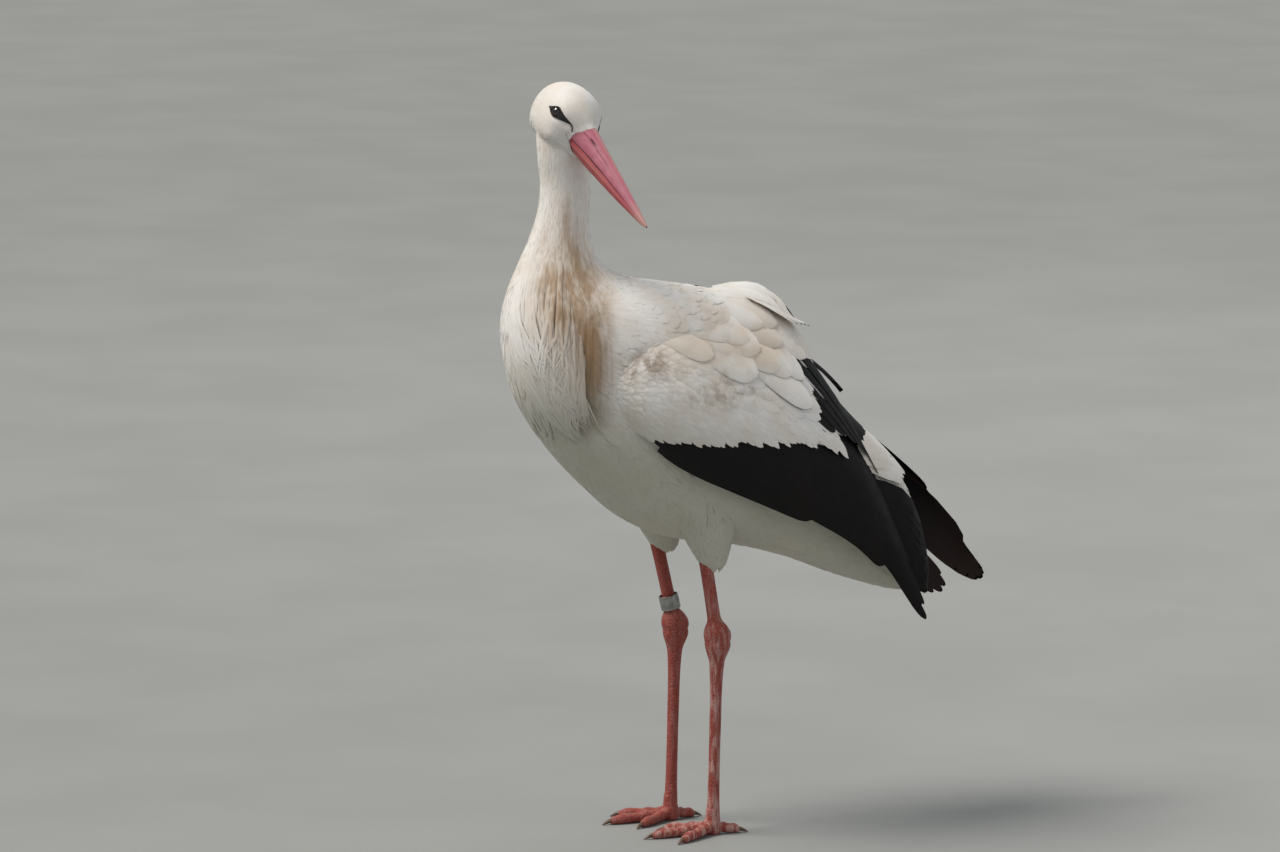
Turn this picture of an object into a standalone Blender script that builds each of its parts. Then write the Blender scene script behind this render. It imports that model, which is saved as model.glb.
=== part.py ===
"""White stork, a still life-size model.

The bird stands on both feet and looks over its left shoulder.  The model is
drawn in millimetres: +X is the bird's left, -Y is where its breast points and
+Z is up, with the ground at Z = 0.  Each named part is one closed solid, and
parts that touch keep a hair-thin gap.
"""

import bpy
import bmesh
import numpy as np
from math import cos, pi, radians, sin, sqrt
from mathutils import Matrix, Vector

# ---------------------------------------------------------------- sizes, in mm
MM = 0.001                      # one millimetre in scene units
GAP = 0.3                       # clearance kept between parts that touch

TRUNK_SIDES = 24                # points round a section of neck, trunk and tail
HEAD_SIDES = 16
BILL_SIDES = 12                 # points from one edge of the mouth to the other
LIMB_SIDES = 10
THIGH_SIDES = 16
TOE_SIDES = 7
CLAW_SIDES = 6
EYE_SIDES, EYE_RINGS = 12, 7
RING_SIDES = 24
SHARP = 40.0                    # degrees between faces that meet in a sharp edge

HEAD_CENTRE = (12.0, -165.8, 845.0)
HEAD_TURN = 106.6               # degrees from straight ahead, towards the left
HEAD_DROP = 39.1                # degrees that the bill points below level
HEAD_ROLL = -8.0                # degrees that the crown leans to the right side

BILL_TIP = 182.0                # ahead of the head's centre
EYE_RADIUS = 8.5
EYE_PLACE = (5.0, 27.0, 12.5)   # ahead of, beside and above the head's centre

STANCE = 45.0                   # each foot, from the middle plane
ANKLE_HEIGHT = 231.0
LEGS = {
    # side: (sign of x, foot y, ankle y, y and z of the top of the bare shin)
    "left": (1, 1.0, 6.5, -9.0, 328.0),
    "right": (-1, -15.5, -9.5, -34.0, 338.0),
}
# Leg sections: (height above the ground, radius).
TARSUS_ROWS = ((27.3, 7.8), (45, 7.1), (90, 6.7), (140, 6.9), (175, 7.3), (198, 8.4), (206.7, 9.4))
ANKLE_LOW_ROWS = ((207, 9.6), (214, 11.8), (222, 14.2))
# Sections past the ankle: (distance up the leaning shin, radius).
ANKLE_HIGH_ROWS = ((3, 15.0), (12, 14.2), (18, 11.4), (22, 9.2))
SHIN_ROWS = ((22.3, 8.6), (30, 7.8), (60, 7.6), (90, 7.8))
SHIN_HIDDEN = (30.0, 9.0)         # length and radius of its end inside the thigh
SHIN_ROOM_RADIUS = 9.3
SHIN_ROOM_START = 10.0
# Thigh: share of its length, half width, half depth, shift to the rear.
THIGH_ROWS = ((0.00, 10.5, 12.5, 9), (0.06, 15, 18, 9), (0.2, 22, 25, 9), (0.4, 29, 34, 9),
              (0.6, 35, 44, 8), (0.8, 38, 50, 6), (1.0, 36, 48, 4))
THIGH_OVERHANG = 12.0           # feathers hang this far below the shin's bare top
THIGH_TOP = 70.0                # the thigh ends this far above the hidden shin's end
THIGH_LEAN = 6.0                # the thigh's top sits this much nearer the middle

# Foot: height and radius up the hub.
HUB_ROWS = ((0.0, 9.0), (4.0, 10.5), (12.0, 10.0), (20.0, 8.6), (27.0, 8.0))
# Toes: (degrees from straight ahead, length).
TOES = {"inner": (-32.0, 55.0), "middle": (0.0, 74.0), "outer": (34.0, 60.0), "back": (172.0, 30.0)}
TOE_RADIUS = 6.0
TOE_ROWS = ((0.0, 1.25), (0.18, 1.02), (0.42, 1.08), (0.54, 0.95), (0.76, 0.98), (1.0, 0.72))
TOE_START = 2.0                 # ahead of the hub's centre
TOE_RISE = 5.0                  # of its root over its tip
CLAW_LENGTH = 11.0
CLAW_ROWS = ((0.0, 0.46), (0.35, 0.40), (0.7, 0.26), (1.0, 0.08))
CLAW_RISE = 2.3                 # of its root over its tip

RING_OUTER = 11.6
RING_WALL = 1.2
RING_HEIGHT = 17.0
RING_PLACE = 23.5               # distance up the shin

# Neck, trunk and tail: each row is one section of the feathered outline, as
# dorsal point (y, z), ventral point (y, z), half width, and sideways shift.
BODY_ROWS = (
    (-140, 830, -202, 826, 29, 5),
    (-136, 804, -200, 799, 29, 4),
    (-135, 772, -196, 767, 29, 2),
    (-137, 740, -199, 734, 32, 1),
    (-136, 712, -209, 703, 37, 0),
    (-131, 688, -221, 676, 45, 0),
    (-112, 667, -234, 645, 57, 0),
    (-78, 655, -242, 608, 72, 0),
    (-35, 647, -239, 563, 85, 0),
    (15, 636, -222, 512, 94, 0),
    (60, 616, -190, 462, 98, 0),
    (100, 580, -150, 418, 98, 0),
    (140, 534, -102, 376, 94, 0),
    (178, 488, -45, 349, 86, 0),
    (208, 458, 25, 337, 72, 0),
    (236, 430, 98, 318, 58, 0),
    (260, 400, 160, 293, 50, 0),
    (273, 366, 208, 276, 49, 0),
    (281, 330, 239, 267, 49, 0),
    (284, 302, 256, 265, 47, 0),
    (281, 284, 266, 266, 43, 0),
)
NECK_END, TRUNK_END = 6, 15     # rows where the neck and the trunk end

# Head: distance ahead of its centre, top, bottom, half width.
HEAD_ROWS = (
    (-46, 3, -13, 8),
    (-42, 15, -26, 17.5),
    (-33, 26, -37, 26),
    (-20, 33.5, -41.5, 32.5),
    (-6, 37, -40, 35.5),
    (7, 36.5, -36, 36),
    (17, 33.5, -31, 33),
    (26, 29.5, -28, 26),
    (34, 25, -24.5, 18),
    (42, 21.5, -19, 12),
    (46, 19, -15, 8.5),
)

HEAD_FULLNESS = 0.9             # power of the sine across a section; 1 is an ellipse

# Bill: distance ahead of the head's centre, ridge, mouth line, keel, half width.
BILL_ROWS = (
    (26, 22.0, -2.5, -18.0, 19.5),
    (34, 22.0, -2.0, -18.8, 18.4),
    (44, 21.4, -1.4, -19.0, 16.2),
    (60, 19.8, -0.6, -18.2, 13.5),
    (85, 17.2, 0.4, -15.2, 10.6),
    (110, 14.4, 1.4, -11.8, 8.4),
    (135, 11.5, 2.2, -8.0, 6.4),
    (158, 8.7, 2.8, -4.0, 4.5),
    (173, 6.4, 3.2, -1.0, 2.7),
    (BILL_TIP, 4.5, 3.6, 2.4, 0.9),
)

# Folded wings: edge lines from shoulder to tip as (x, y, z), for the edge along
# the back, the middle of the wing and its lower edge.
LEFT_WING = (
    ((34, -120, 634), (24, -25, 630), (20, 56, 620), (24, 118, 561), (32, 196, 439), (46, 245, 317)),
    ((70, -162, 572), (103, -92, 560), (109, -10, 532), (100, 84, 486), (78, 180, 404), (54, 262, 272)),
    ((84, -108, 484), (100, -64, 452), (103, 10, 416), (92, 110, 368), (70, 198, 318), (50, 272, 230)),
)
RIGHT_WING = (
    ((34, -120, 630), (24, -28, 620), (20, 60, 594), (26, 152, 509), (47, 300, 384), (40, 376, 286)),
    ((70, -162, 576), (103, -90, 566), (109, -2, 540), (100, 104, 494), (76, 226, 408), (40, 382, 258)),
    ((84, -108, 490), (100, -58, 464), (103, 20, 432), (92, 124, 388), (70, 228, 332), (40, 322, 236)),
)
LEFT_TIPS = (0.0, 0.45, 0.72, 0.88, 1.0)   # feather edges across the left wing's end
RIGHT_TIPS = (0.0, 0.62, 0.83, 1.0)
LEFT_TIP_DEPTH, RIGHT_TIP_DEPTH = 0.09, 0.17    # depth of the slots between them
LEFT_TIP_PEAK, RIGHT_TIP_PEAK = 0.5, 0.3        # where each feather is longest, across it
SPLIT = 0.62                    # where the primaries begin, from shoulder to tip
SLIT = 0.0008                   # half the gap there
COVERT_TIPS, TERTIAL_TIPS = 4, 3            # rounded ends in the rear edge of each
COVERT_NOTCH, TERTIAL_NOTCH = 0.02, 0.04
LONG_TIP = (0.1, 0.33, 0.67, 0.9, 1.0)      # where a feather's end is sampled
SHORT_TIP = (0.2, 0.5, 0.8, 1.0)
FLIGHT_THICK = 4.0
COVERT_THICK = 7.0
TERTIAL_THICK = 3.0
COVER_BASE = FLIGHT_THICK + 2.0  # inner face of the sheets that lie over the flight feathers


# Linear colours.
WHITE = (0.82, 0.79, 0.73)
BLACK = (0.012, 0.011, 0.012)
BILL_RED = (0.62, 0.13, 0.12)
BILL_ORANGE = (0.66, 0.12, 0.07)
LEG_RED = (0.50, 0.10, 0.08)
HORN = (0.30, 0.16, 0.12)
RING_GREY = (0.35, 0.35, 0.34)


# ------------------------------------------------------------ curves and skins
def along(rows, place):
    """Value of a smooth curve through evenly spaced rows (Catmull-Rom).

    place runs from 0 at the first row to len(rows) - 1 at the last.
    """
    rows = np.asarray(rows, dtype=float)
    last = len(rows) - 1
    place = min(max(place, 0.0), float(last))
    i = min(int(place), last - 1)
    t = place - i
    before = rows[i - 1] if i > 0 else 2 * rows[0] - rows[1]
    after = rows[i + 2] if i + 2 <= last else 2 * rows[last] - rows[last - 1]
    a, b = rows[i], rows[i + 1]
    return 0.5 * (2 * a + (b - before) * t
                  + (2 * before - 5 * a + 4 * b - after) * t ** 2
                  + (3 * a - before - 3 * b + after) * t ** 3)


def smoothstep(value):
    value = min(max(value, 0.0), 1.0)
    return value * value * (3 - 2 * value)


def new_object(name, mesh_data, colour, roughness=0.6, metallic=0.0):
    """Put bmesh geometry, drawn in millimetres, in the stork's collection."""
    bmesh.ops.recalc_face_normals(mesh_data, faces=mesh_data.faces)
    bmesh.ops.scale(mesh_data, vec=(MM, MM, MM), verts=mesh_data.verts)
    mesh = bpy.data.meshes.new(name)
    mesh_data.to_mesh(mesh)
    mesh_data.free()
    mesh.shade_smooth()
    mesh.set_sharp_from_angle(angle=radians(SHARP))
    obj = bpy.data.objects.new(name, mesh)
    STORK.objects.link(obj)
    material = bpy.data.materials.new(name)
    material.use_nodes = True
    shader = material.node_tree.nodes["Principled BSDF"]
    shader.inputs["Base Color"].default_value = (*colour, 1.0)
    shader.inputs["Roughness"].default_value = roughness
    shader.inputs["Metallic"].default_value = metallic
    mesh.materials.append(material)
    return obj


def as_cutter(obj):
    """Move an object to the cutters, which only shape the parts."""
    STORK.objects.unlink(obj)
    CUTTERS.objects.link(obj)
    obj.hide_render = True
    obj.display_type = "WIRE"
    return obj


def cut(obj, *cutters):
    """Take the cutters' shapes away from a part."""
    for cutter in cutters:
        change = obj.modifiers.new("room for " + cutter.name, "BOOLEAN")
        change.operation = "DIFFERENCE"
        change.solver = "EXACT"
        change.object = cutter


def loft(name, rings, colour, **finish):
    """Close a skin over rings of equal point count, with a flat cap at each end."""
    bm = bmesh.new()
    loops = [[bm.verts.new(point) for point in ring] for ring in rings]
    for lower, upper in zip(loops, loops[1:]):
        for i in range(len(lower)):
            j = (i + 1) % len(lower)
            bm.faces.new((lower[i], lower[j], upper[j]))
            bm.faces.new((lower[i], upper[j], upper[i]))
    bm.faces.new(loops[0])
    bm.faces.new(loops[-1])
    return new_object(name, bm, colour, **finish)


def tube_rings(path, radii, sides, axis=None):
    """Rings round a path of points, square to the path, or all square to one axis."""
    rings = []
    points = [Vector(p) for p in path]
    for i, point in enumerate(points):
        ahead = axis or points[min(i + 1, len(points) - 1)] - points[max(i - 1, 0)]
        ahead = ahead.normalized()
        side = ahead.cross(Vector((0, 0, 1)) if axis else Vector((0, 1, 0))).normalized()
        up = side.cross(ahead)
        rings.append([point + (side * cos(a) + up * sin(a)) * radii[i]
                      for a in (2 * pi * k / sides for k in range(sides))])
    return rings


# -------------------------------------------------------- neck, trunk and tail
def body_ring(place, grow=0.0, push=0.0):
    """One section of the body: an oval between the dorsal and ventral points."""
    dy, dz, vy, vz, half_width, side = along(BODY_ROWS, place)
    centre = Vector((side, (dy + vy) / 2, (dz + vz) / 2))
    up = Vector((0, dy - vy, dz - vz)) / 2
    depth = up.length + grow
    up.normalize()
    ahead = up.cross(Vector((1, 0, 0)))
    half_width += grow
    ring = []
    for k in range(TRUNK_SIDES):
        a = 2 * pi * k / TRUNK_SIDES
        ring.append(centre + ahead * push + Vector((1, 0, 0)) * (half_width * sin(a))
                    + up * (depth * cos(a)))
    return ring


def body_part(name, first, last, colour, grow=0.0, push=-GAP / 2):
    """The body's skin between two rows, with each end pushed out, or in by half the gap.

    The trunk, which is the broadest, has a section halfway between its rows too.
    """
    places = [place / 2 for place in range(2 * first, 2 * last + 1)
              if place % 2 == 0 or NECK_END < place / 2 < TRUNK_END]
    ends = {first: -push, last: push}
    rings = [body_ring(place, grow, ends.get(place, 0.0)) for place in places]
    return loft(name, rings, colour)


# ------------------------------------------------------------- head, bill, eyes
def head_frame():
    """Matrix from the head's own axes (ahead, right, up) to the bird's."""
    turn, drop, roll = radians(HEAD_TURN), radians(HEAD_DROP), radians(HEAD_ROLL)
    ahead = Vector((sin(turn) * cos(drop), -cos(turn) * cos(drop), -sin(drop)))
    up = (Vector((0, 0, 1)) - ahead * ahead.z).normalized()
    right = ahead.cross(up)
    up, right = up * cos(roll) + right * sin(roll), right * cos(roll) - up * sin(roll)
    frame = Matrix((ahead, right, up)).transposed().to_4x4()
    frame.translation = Vector(HEAD_CENTRE)
    return frame


def oval(distance, top, bottom, half_width):
    """A closed section across the head's axis, a little fuller than an ellipse."""
    ring = []
    for k in range(HEAD_SIDES):
        a = 2 * pi * k / HEAD_SIDES
        across = half_width * np.sign(sin(a)) * abs(sin(a)) ** HEAD_FULLNESS
        ring.append(Vector((distance, across, (top + bottom) / 2 + (top - bottom) / 2 * cos(a))))
    return ring


def head_skin(name, colour, grow=0.0):
    """The head's outline, with every section grown by the same amount."""
    frame = head_frame()
    rings = []
    last = len(HEAD_ROWS) - 1
    for i, (distance, top, bottom, half_width) in enumerate(HEAD_ROWS):
        distance += grow * (2 * i / last - 1)
        rings.append([frame @ p for p in oval(distance, top + grow, bottom - grow,
                                              half_width + grow)])
    return loft(name, rings, colour)


def bill_arc(place, upper, grow, lift):
    """Half of the bill's section: a ridged roof above the mouth line or a keel below."""
    distance, ridge, mouth, keel, half_width = along(BILL_ROWS, place)
    half_width += grow
    edge = mouth + (lift if upper else -lift)
    peak = ridge + grow if upper else keel - grow
    arc = []
    for k in range(BILL_SIDES):
        a = pi * k / (BILL_SIDES - 1)
        rise = max(sin(a), 0.0)
        arc.append(Vector((distance, half_width * cos(a) * (1 - 0.28 * rise),
                           edge + (peak - edge) * rise ** 0.85)))
    return arc


def bill_half(name, upper, colour, **finish):
    frame = head_frame()
    rings = [[frame @ p for p in bill_arc(place, upper, 0.0, GAP / 2)]
             for place in range(len(BILL_ROWS))]
    return loft(name, rings, colour, **finish)


def bill_room():
    """The space that both halves of the bill take up in the head."""
    frame = head_frame()
    rings = []
    for place in range(len(BILL_ROWS)):
        roof, floor = bill_arc(place, True, GAP, 0.0), bill_arc(place, False, GAP, 0.0)
        rings.append([frame @ p for p in roof + floor[-2:0:-1]])
    return as_cutter(loft("bill room", rings, BILL_RED))


def ball(name, centre, radius, colour, **finish):
    bm = bmesh.new()
    bmesh.ops.create_uvsphere(bm, u_segments=EYE_SIDES, v_segments=EYE_RINGS, radius=radius,
                              matrix=Matrix.Translation(centre))
    return new_object(name, bm, colour, **finish)


def make_head():
    frame = head_frame()
    head = head_skin("head", WHITE)
    bill_half("bill_upper", True, BILL_RED, roughness=0.4)
    bill_half("bill_lower", False, BILL_ORANGE, roughness=0.4)
    cutters = [bill_room()]
    distance, beside, above = EYE_PLACE
    for side, name in ((1, "right"), (-1, "left")):
        centre = frame @ Vector((distance, side * beside, above))
        ball("eye_" + name, centre, EYE_RADIUS, BLACK, roughness=0.1)
        cutters.append(as_cutter(ball("socket " + name, centre, EYE_RADIUS + GAP, BLACK)))
    cut(head, *cutters)


# ------------------------------------------------------------------------ wings
def wing_point(lines, p, q):
    """Point on the folded wing's sheet: p from shoulder to tip, q from back to lower edge.

    The three edge lines are smooth curves, and a parabola joins them across.
    """
    last = len(lines[0]) - 1
    top, middle, low = (along(line, p * last) for line in lines)
    return (top * (1 - q) * (1 - 2 * q) + middle * 4 * q * (1 - q) + low * q * (2 * q - 1))


def wing_normal(lines, p, q):
    """Outward direction of the wing's sheet."""
    step = 0.01
    along_p = wing_point(lines, min(p + step, 1), q) - wing_point(lines, max(p - step, 0), q)
    along_q = wing_point(lines, p, min(q + step, 1)) - wing_point(lines, p, max(q - step, 0))
    normal = np.cross(along_q, along_p)
    return normal / np.linalg.norm(normal)


def notch(q, tips, depth, peak=0.5):
    """How far the trailing edge is cut back at q between rounded feather tips.

    tips are the values of q where one feather ends and the next begins, and
    peak is the share of each feather's width where it is longest.
    """
    for first, last in zip(tips, tips[1:]):
        if q <= last:
            break
    off = (q - first) / (last - first) - peak
    across = min(abs(off) / (peak if off < 0 else 1 - peak), 1.0)
    return depth * (1 - sqrt(1 - across ** 2))


def tip_rows(tips, shares):
    """Values of q for the rows of a slab: the same shares of each feather's width."""
    rows = [tips[0]]
    for first, last in zip(tips, tips[1:]):
        rows += [first + (last - first) * share for share in shares]
    return rows


def wing_slab(name, lines, mirror, place, rows, columns, base, thick, colour, **finish):
    """A closed sheet of feathers over the wing.

    place(s, v) gives (p, q) for a grid of s from front to rear and v from the
    upper row to the lower; base is the inner face's height over the wing's
    sheet, and thick(s, v) the thickness there.
    """
    outer, inner = [], []
    for v in rows:
        for s in columns:
            p, q = place(s, v)
            point, normal = wing_point(lines, p, q), wing_normal(lines, p, q)
            low, high = point + normal * base, point + normal * (base + thick(s, v))
            if mirror:
                low[0], high[0] = -low[0], -high[0]
            inner.append(low)
            outer.append(high)
    bm = bmesh.new()
    wide = len(columns)
    top = [bm.verts.new(point) for point in outer]
    under = [bm.verts.new(point) for point in inner]
    for r in range(len(rows) - 1):
        for c in range(wide - 1):
            a, b, d, e = (r * wide + c, r * wide + c + 1, (r + 1) * wide + c + 1, (r + 1) * wide + c)
            for face in ((a, b, d), (a, d, e)):
                bm.faces.new([top[i] for i in face])
                bm.faces.new([under[i] for i in reversed(face)])
    rim = ([c for c in range(wide)] + [r * wide + wide - 1 for r in range(1, len(rows))]
           + [(len(rows) - 1) * wide + c for c in range(wide - 2, -1, -1)]
           + [r * wide for r in range(len(rows) - 2, 0, -1)])
    for a, b in zip(rim, rim[1:] + rim[:1]):
        bm.faces.new((top[b], top[a], under[a], under[b]))
    return new_object(name, bm, colour, **finish)


def make_wing(side, lines, mirror, tips, tip_depth, tip_peak, body_room):
    """Flight feathers in two parts, the coverts over them, and the tertials."""
    covert_tips = np.linspace(0, 1, COVERT_TIPS + 1)
    tertial_tips = np.linspace(0, 1, TERTIAL_TIPS + 1)

    # Each place below turns (s, v), front to rear and back to lower edge of one
    # sheet, into (p, q) on the whole wing.
    def secondary_place(s, v):
        return 0.10 + (SPLIT - SLIT - 0.10) * s, 0.16 + 0.84 * v

    def primary_place(s, v):
        end = 1 - notch(v, tips, tip_depth, tip_peak)
        return SPLIT + SLIT + (end - SPLIT - SLIT) * s, v

    def covert_place(s, v):
        rear = 0.57 + 0.13 * v - notch(v, covert_tips, COVERT_NOTCH)
        return rear * s, (0.98 - 0.33 * s - 0.22 * s ** 3) * v

    def tertial_place(s, v):
        front = 0.58 + 0.13 * v
        end = 0.84 - 0.05 * v - notch(v, tertial_tips, TERTIAL_NOTCH)
        return front + (end - front) * s, 0.02 + 0.40 * v

    def even(s, v):
        return FLIGHT_THICK

    def thin_to_tip(s, v):
        return FLIGHT_THICK * (1 - 0.55 * s)

    def thin_at_edges(s, v):
        edge = 0.4 + 0.6 * smoothstep(v / 0.3) * smoothstep(s / 0.2 + 0.1)
        return COVERT_THICK * (1 - 0.35 * s) * edge

    def even_over(s, v):
        return TERTIAL_THICK

    tip_grid = tip_rows(tips, LONG_TIP), np.linspace(0, 1, 6)
    covert_grid = tip_rows(covert_tips, SHORT_TIP), np.linspace(0, 1, 7)
    tertial_grid = tip_rows(tertial_tips, SHORT_TIP), np.linspace(0, 1, 5)
    even_grid = np.linspace(0, 1, 8), np.linspace(0, 1, 8)
    for name, place, (rows, columns), base, thick, colour in (
            ("secondaries", secondary_place, even_grid, 0.0, even, BLACK),
            ("primaries", primary_place, tip_grid, 0.0, thin_to_tip, BLACK),
            ("coverts", covert_place, covert_grid, COVER_BASE, thin_at_edges, WHITE),
            ("tertials", tertial_place, tertial_grid, COVER_BASE, even_over, BLACK)):
        cut(wing_slab("wing_%s_%s" % (side, name), lines, mirror, place, rows, columns, base,
                      thick, colour), body_room)


# ------------------------------------------------------------------------- legs
def toe_path(start, heading, length):
    """Centre line and radii of a toe whose sole lies on the ground."""
    path, radii = [], []
    for share, size in TOE_ROWS:
        radius = TOE_RADIUS * size
        height = radius + TOE_RISE * (1 - share) ** 3
        path.append(start + heading * (length * share) + Vector((0, 0, height)))
        radii.append(radius)
    return path, radii


def claw_path(tip, heading):
    """Centre line and radii of a claw that starts a hair ahead of the toe's tip."""
    path, radii = [], []
    for share, size in CLAW_ROWS:
        radius = TOE_RADIUS * size
        point = Vector((tip.x, tip.y, 0)) + heading * (GAP + CLAW_LENGTH * share)
        point.z = radius + CLAW_RISE * (1 - share)
        path.append(point)
        radii.append(radius)
    return path, radii


def flatten(rings):
    """Press the points below the ground up to it, which leaves a flat sole."""
    return [[Vector((p.x, p.y, max(p.z, 0.0))) for p in ring] for ring in rings]


def make_foot(side):
    sign, foot_y = LEGS[side][0], LEGS[side][1]
    centre = Vector((sign * STANCE, foot_y, 0))
    hub = tube_rings([centre + Vector((0, 0, z)) for z, r in HUB_ROWS],
                     [r for z, r in HUB_ROWS], LIMB_SIDES)
    foot = loft("foot_" + side, hub, LEG_RED)
    for name, (spread, length) in TOES.items():
        angle = radians(spread) * sign
        heading = Vector((sin(angle), -cos(angle), 0))
        path, radii = toe_path(centre + heading * TOE_START, heading, length)
        toe = loft("toe", flatten(tube_rings(path, radii, TOE_SIDES, heading)), LEG_RED)
        join = foot.modifiers.new("toe", "BOOLEAN")
        join.operation = "UNION"
        join.solver = "EXACT"
        join.object = as_cutter(toe)
        path, radii = claw_path(path[-1], heading)
        loft("claw_%s_%s" % (side, name), flatten(tube_rings(path, radii, CLAW_SIDES, heading)),
             HORN, roughness=0.35)


def shin_line(side):
    """Foot of the leaning shin, at the ankle, and its direction."""
    sign, _, ankle_y, shin_y, shin_z = LEGS[side]
    base = Vector((sign * STANCE, ankle_y, ANKLE_HEIGHT))
    return base, Vector((0, shin_y - ankle_y, shin_z - ANKLE_HEIGHT)).normalized()


def make_leg(side, trunk_room):
    """Tarsus, ankle, shin and feathered thigh; returns the room that the shin needs."""
    sign, foot_y, ankle_y, _, shin_z = LEGS[side]
    base, lean = shin_line(side)

    def on_tarsus(z):
        return Vector((base.x, foot_y + (ankle_y - foot_y) * z / ANKLE_HEIGHT, z))

    def on_shin(distance):
        return base + lean * distance

    def limb(name, rows):
        return loft(name + "_" + side, tube_rings([p for p, r in rows], [r for p, r in rows],
                                                  LIMB_SIDES), LEG_RED)

    limb("tarsus", [(on_tarsus(z), r) for z, r in TARSUS_ROWS])
    limb("ankle", [(on_tarsus(z), r) for z, r in ANKLE_LOW_ROWS]
         + [(on_shin(d), r) for d, r in ANKLE_HIGH_ROWS])
    bare = shin_z - ANKLE_HEIGHT
    end, end_radius = bare + SHIN_HIDDEN[0], SHIN_HIDDEN[1]
    limb("shin", [(on_shin(d), r) for d, r in SHIN_ROWS + ((end, end_radius),)])
    shin_room = as_cutter(limb("shin room", [(on_shin(d), SHIN_ROOM_RADIUS)
                                             for d in (SHIN_ROOM_START, end + GAP)]))

    bottom, top = on_shin(bare - THIGH_OVERHANG), on_shin(end + THIGH_TOP)
    rings = []
    for share, radius_x, radius_y, back in THIGH_ROWS:
        point = bottom.lerp(top, share) + Vector((-sign * THIGH_LEAN * share, back, 0))
        rings.append([point + Vector((radius_x * cos(a), radius_y * sin(a), 0))
                      for a in (2 * pi * k / THIGH_SIDES for k in range(THIGH_SIDES))])
    cut(loft("thigh_" + side, rings, WHITE), trunk_room, shin_room)
    return shin_room


def make_ring():
    """A plain metal band round the right shin, resting just above the ankle."""
    base, lean = shin_line("right")
    inner = RING_OUTER - RING_WALL
    corners = ((RING_OUTER, RING_HEIGHT), (RING_OUTER, 0), (inner, 0), (inner, RING_HEIGHT))
    profile = bmesh.new()
    points = [profile.verts.new((r, 0, z)) for r, z in corners]
    for a, b in zip(points, points[1:] + points[:1]):
        profile.edges.new((a, b))
    ring = new_object("leg_ring", profile, RING_GREY, roughness=0.45, metallic=1.0)
    ring.location = (base + lean * RING_PLACE) * MM
    ring.rotation_euler = lean.to_track_quat("Z", "Y").to_euler()
    turn = ring.modifiers.new("turned", "SCREW")
    turn.steps = turn.render_steps = RING_SIDES
    turn.use_merge_vertices = True
    turn.merge_threshold = 0.01 * MM
    turn.use_smooth_shade = False


# --------------------------------------------------------------------- assembly
def centre_over_origin():
    """Move everything so that the middle of the bird's outer box is over the origin."""
    bpy.context.view_layer.update()
    points = [obj.matrix_world @ v.co for obj in STORK.objects for v in obj.data.vertices]
    shift = Vector([-(min(p[k] for p in points) + max(p[k] for p in points)) / 2
                    for k in range(2)] + [0.0])
    for collection in (STORK, CUTTERS):
        for obj in collection.objects:
            obj.location += shift


def main():
    neck = body_part("neck", 0, NECK_END, WHITE)
    trunk = body_part("trunk", NECK_END, TRUNK_END, WHITE)
    tail_end = len(BODY_ROWS) - 1
    body_part("tail", TRUNK_END, tail_end, WHITE)
    body_room = as_cutter(body_part("body room", 0, tail_end, WHITE, grow=GAP, push=GAP))
    make_head()
    cut(neck, as_cutter(head_skin("head room", WHITE, grow=GAP)))
    make_wing("left", LEFT_WING, False, LEFT_TIPS, LEFT_TIP_DEPTH, LEFT_TIP_PEAK, body_room)
    make_wing("right", RIGHT_WING, True, RIGHT_TIPS, RIGHT_TIP_DEPTH, RIGHT_TIP_PEAK, body_room)
    for side in LEGS:
        cut(trunk, make_leg(side, body_room))
        make_foot(side)
    make_ring()
    centre_over_origin()


for old in list(bpy.data.objects):
    bpy.data.objects.remove(old, do_unlink=True)
STORK = bpy.data.collections.new("white stork")
CUTTERS = bpy.data.collections.new("cutters")
for collection in (STORK, CUTTERS):
    bpy.context.scene.collection.children.link(collection)
main()
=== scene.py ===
"""Looks of a still, life-size white stork.

Every piece is a surface worked out with numpy from the same sections as the
solids: the neck, trunk and tail are one oval carried along rows of sections,
the head is another along its own axis, and each wing is a sheet between three
edge lines.  Feathers are small closed vanes combed over those surfaces.  All
shapes are drawn in millimetres in the bird's own frame, and MIDDLE moves them
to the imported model's frame.
"""

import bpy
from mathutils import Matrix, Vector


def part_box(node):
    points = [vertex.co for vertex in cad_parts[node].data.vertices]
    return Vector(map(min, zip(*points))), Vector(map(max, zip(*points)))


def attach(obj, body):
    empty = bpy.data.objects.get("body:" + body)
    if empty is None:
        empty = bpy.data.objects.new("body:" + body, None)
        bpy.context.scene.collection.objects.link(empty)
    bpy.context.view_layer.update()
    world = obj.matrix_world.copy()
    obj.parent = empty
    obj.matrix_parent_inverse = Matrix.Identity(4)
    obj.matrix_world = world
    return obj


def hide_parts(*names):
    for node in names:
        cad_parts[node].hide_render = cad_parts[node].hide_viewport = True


bl_info = {
    "name": "White stork",
    "version": (1, 0, 0),
    "blender": (4, 5, 0),
    "location": "View3D > Sidebar > Stork",
    "description": "A standing white stork: skin, plumage, bill, eyes, legs and leg ring",
    "category": "Add Mesh",
}

from functools import partial

import bpy
import numpy as np
from bpy.props import FloatProperty, IntProperty, PointerProperty, StringProperty
from bpy.types import Operator, Panel, PropertyGroup
from mathutils import Vector

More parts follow.
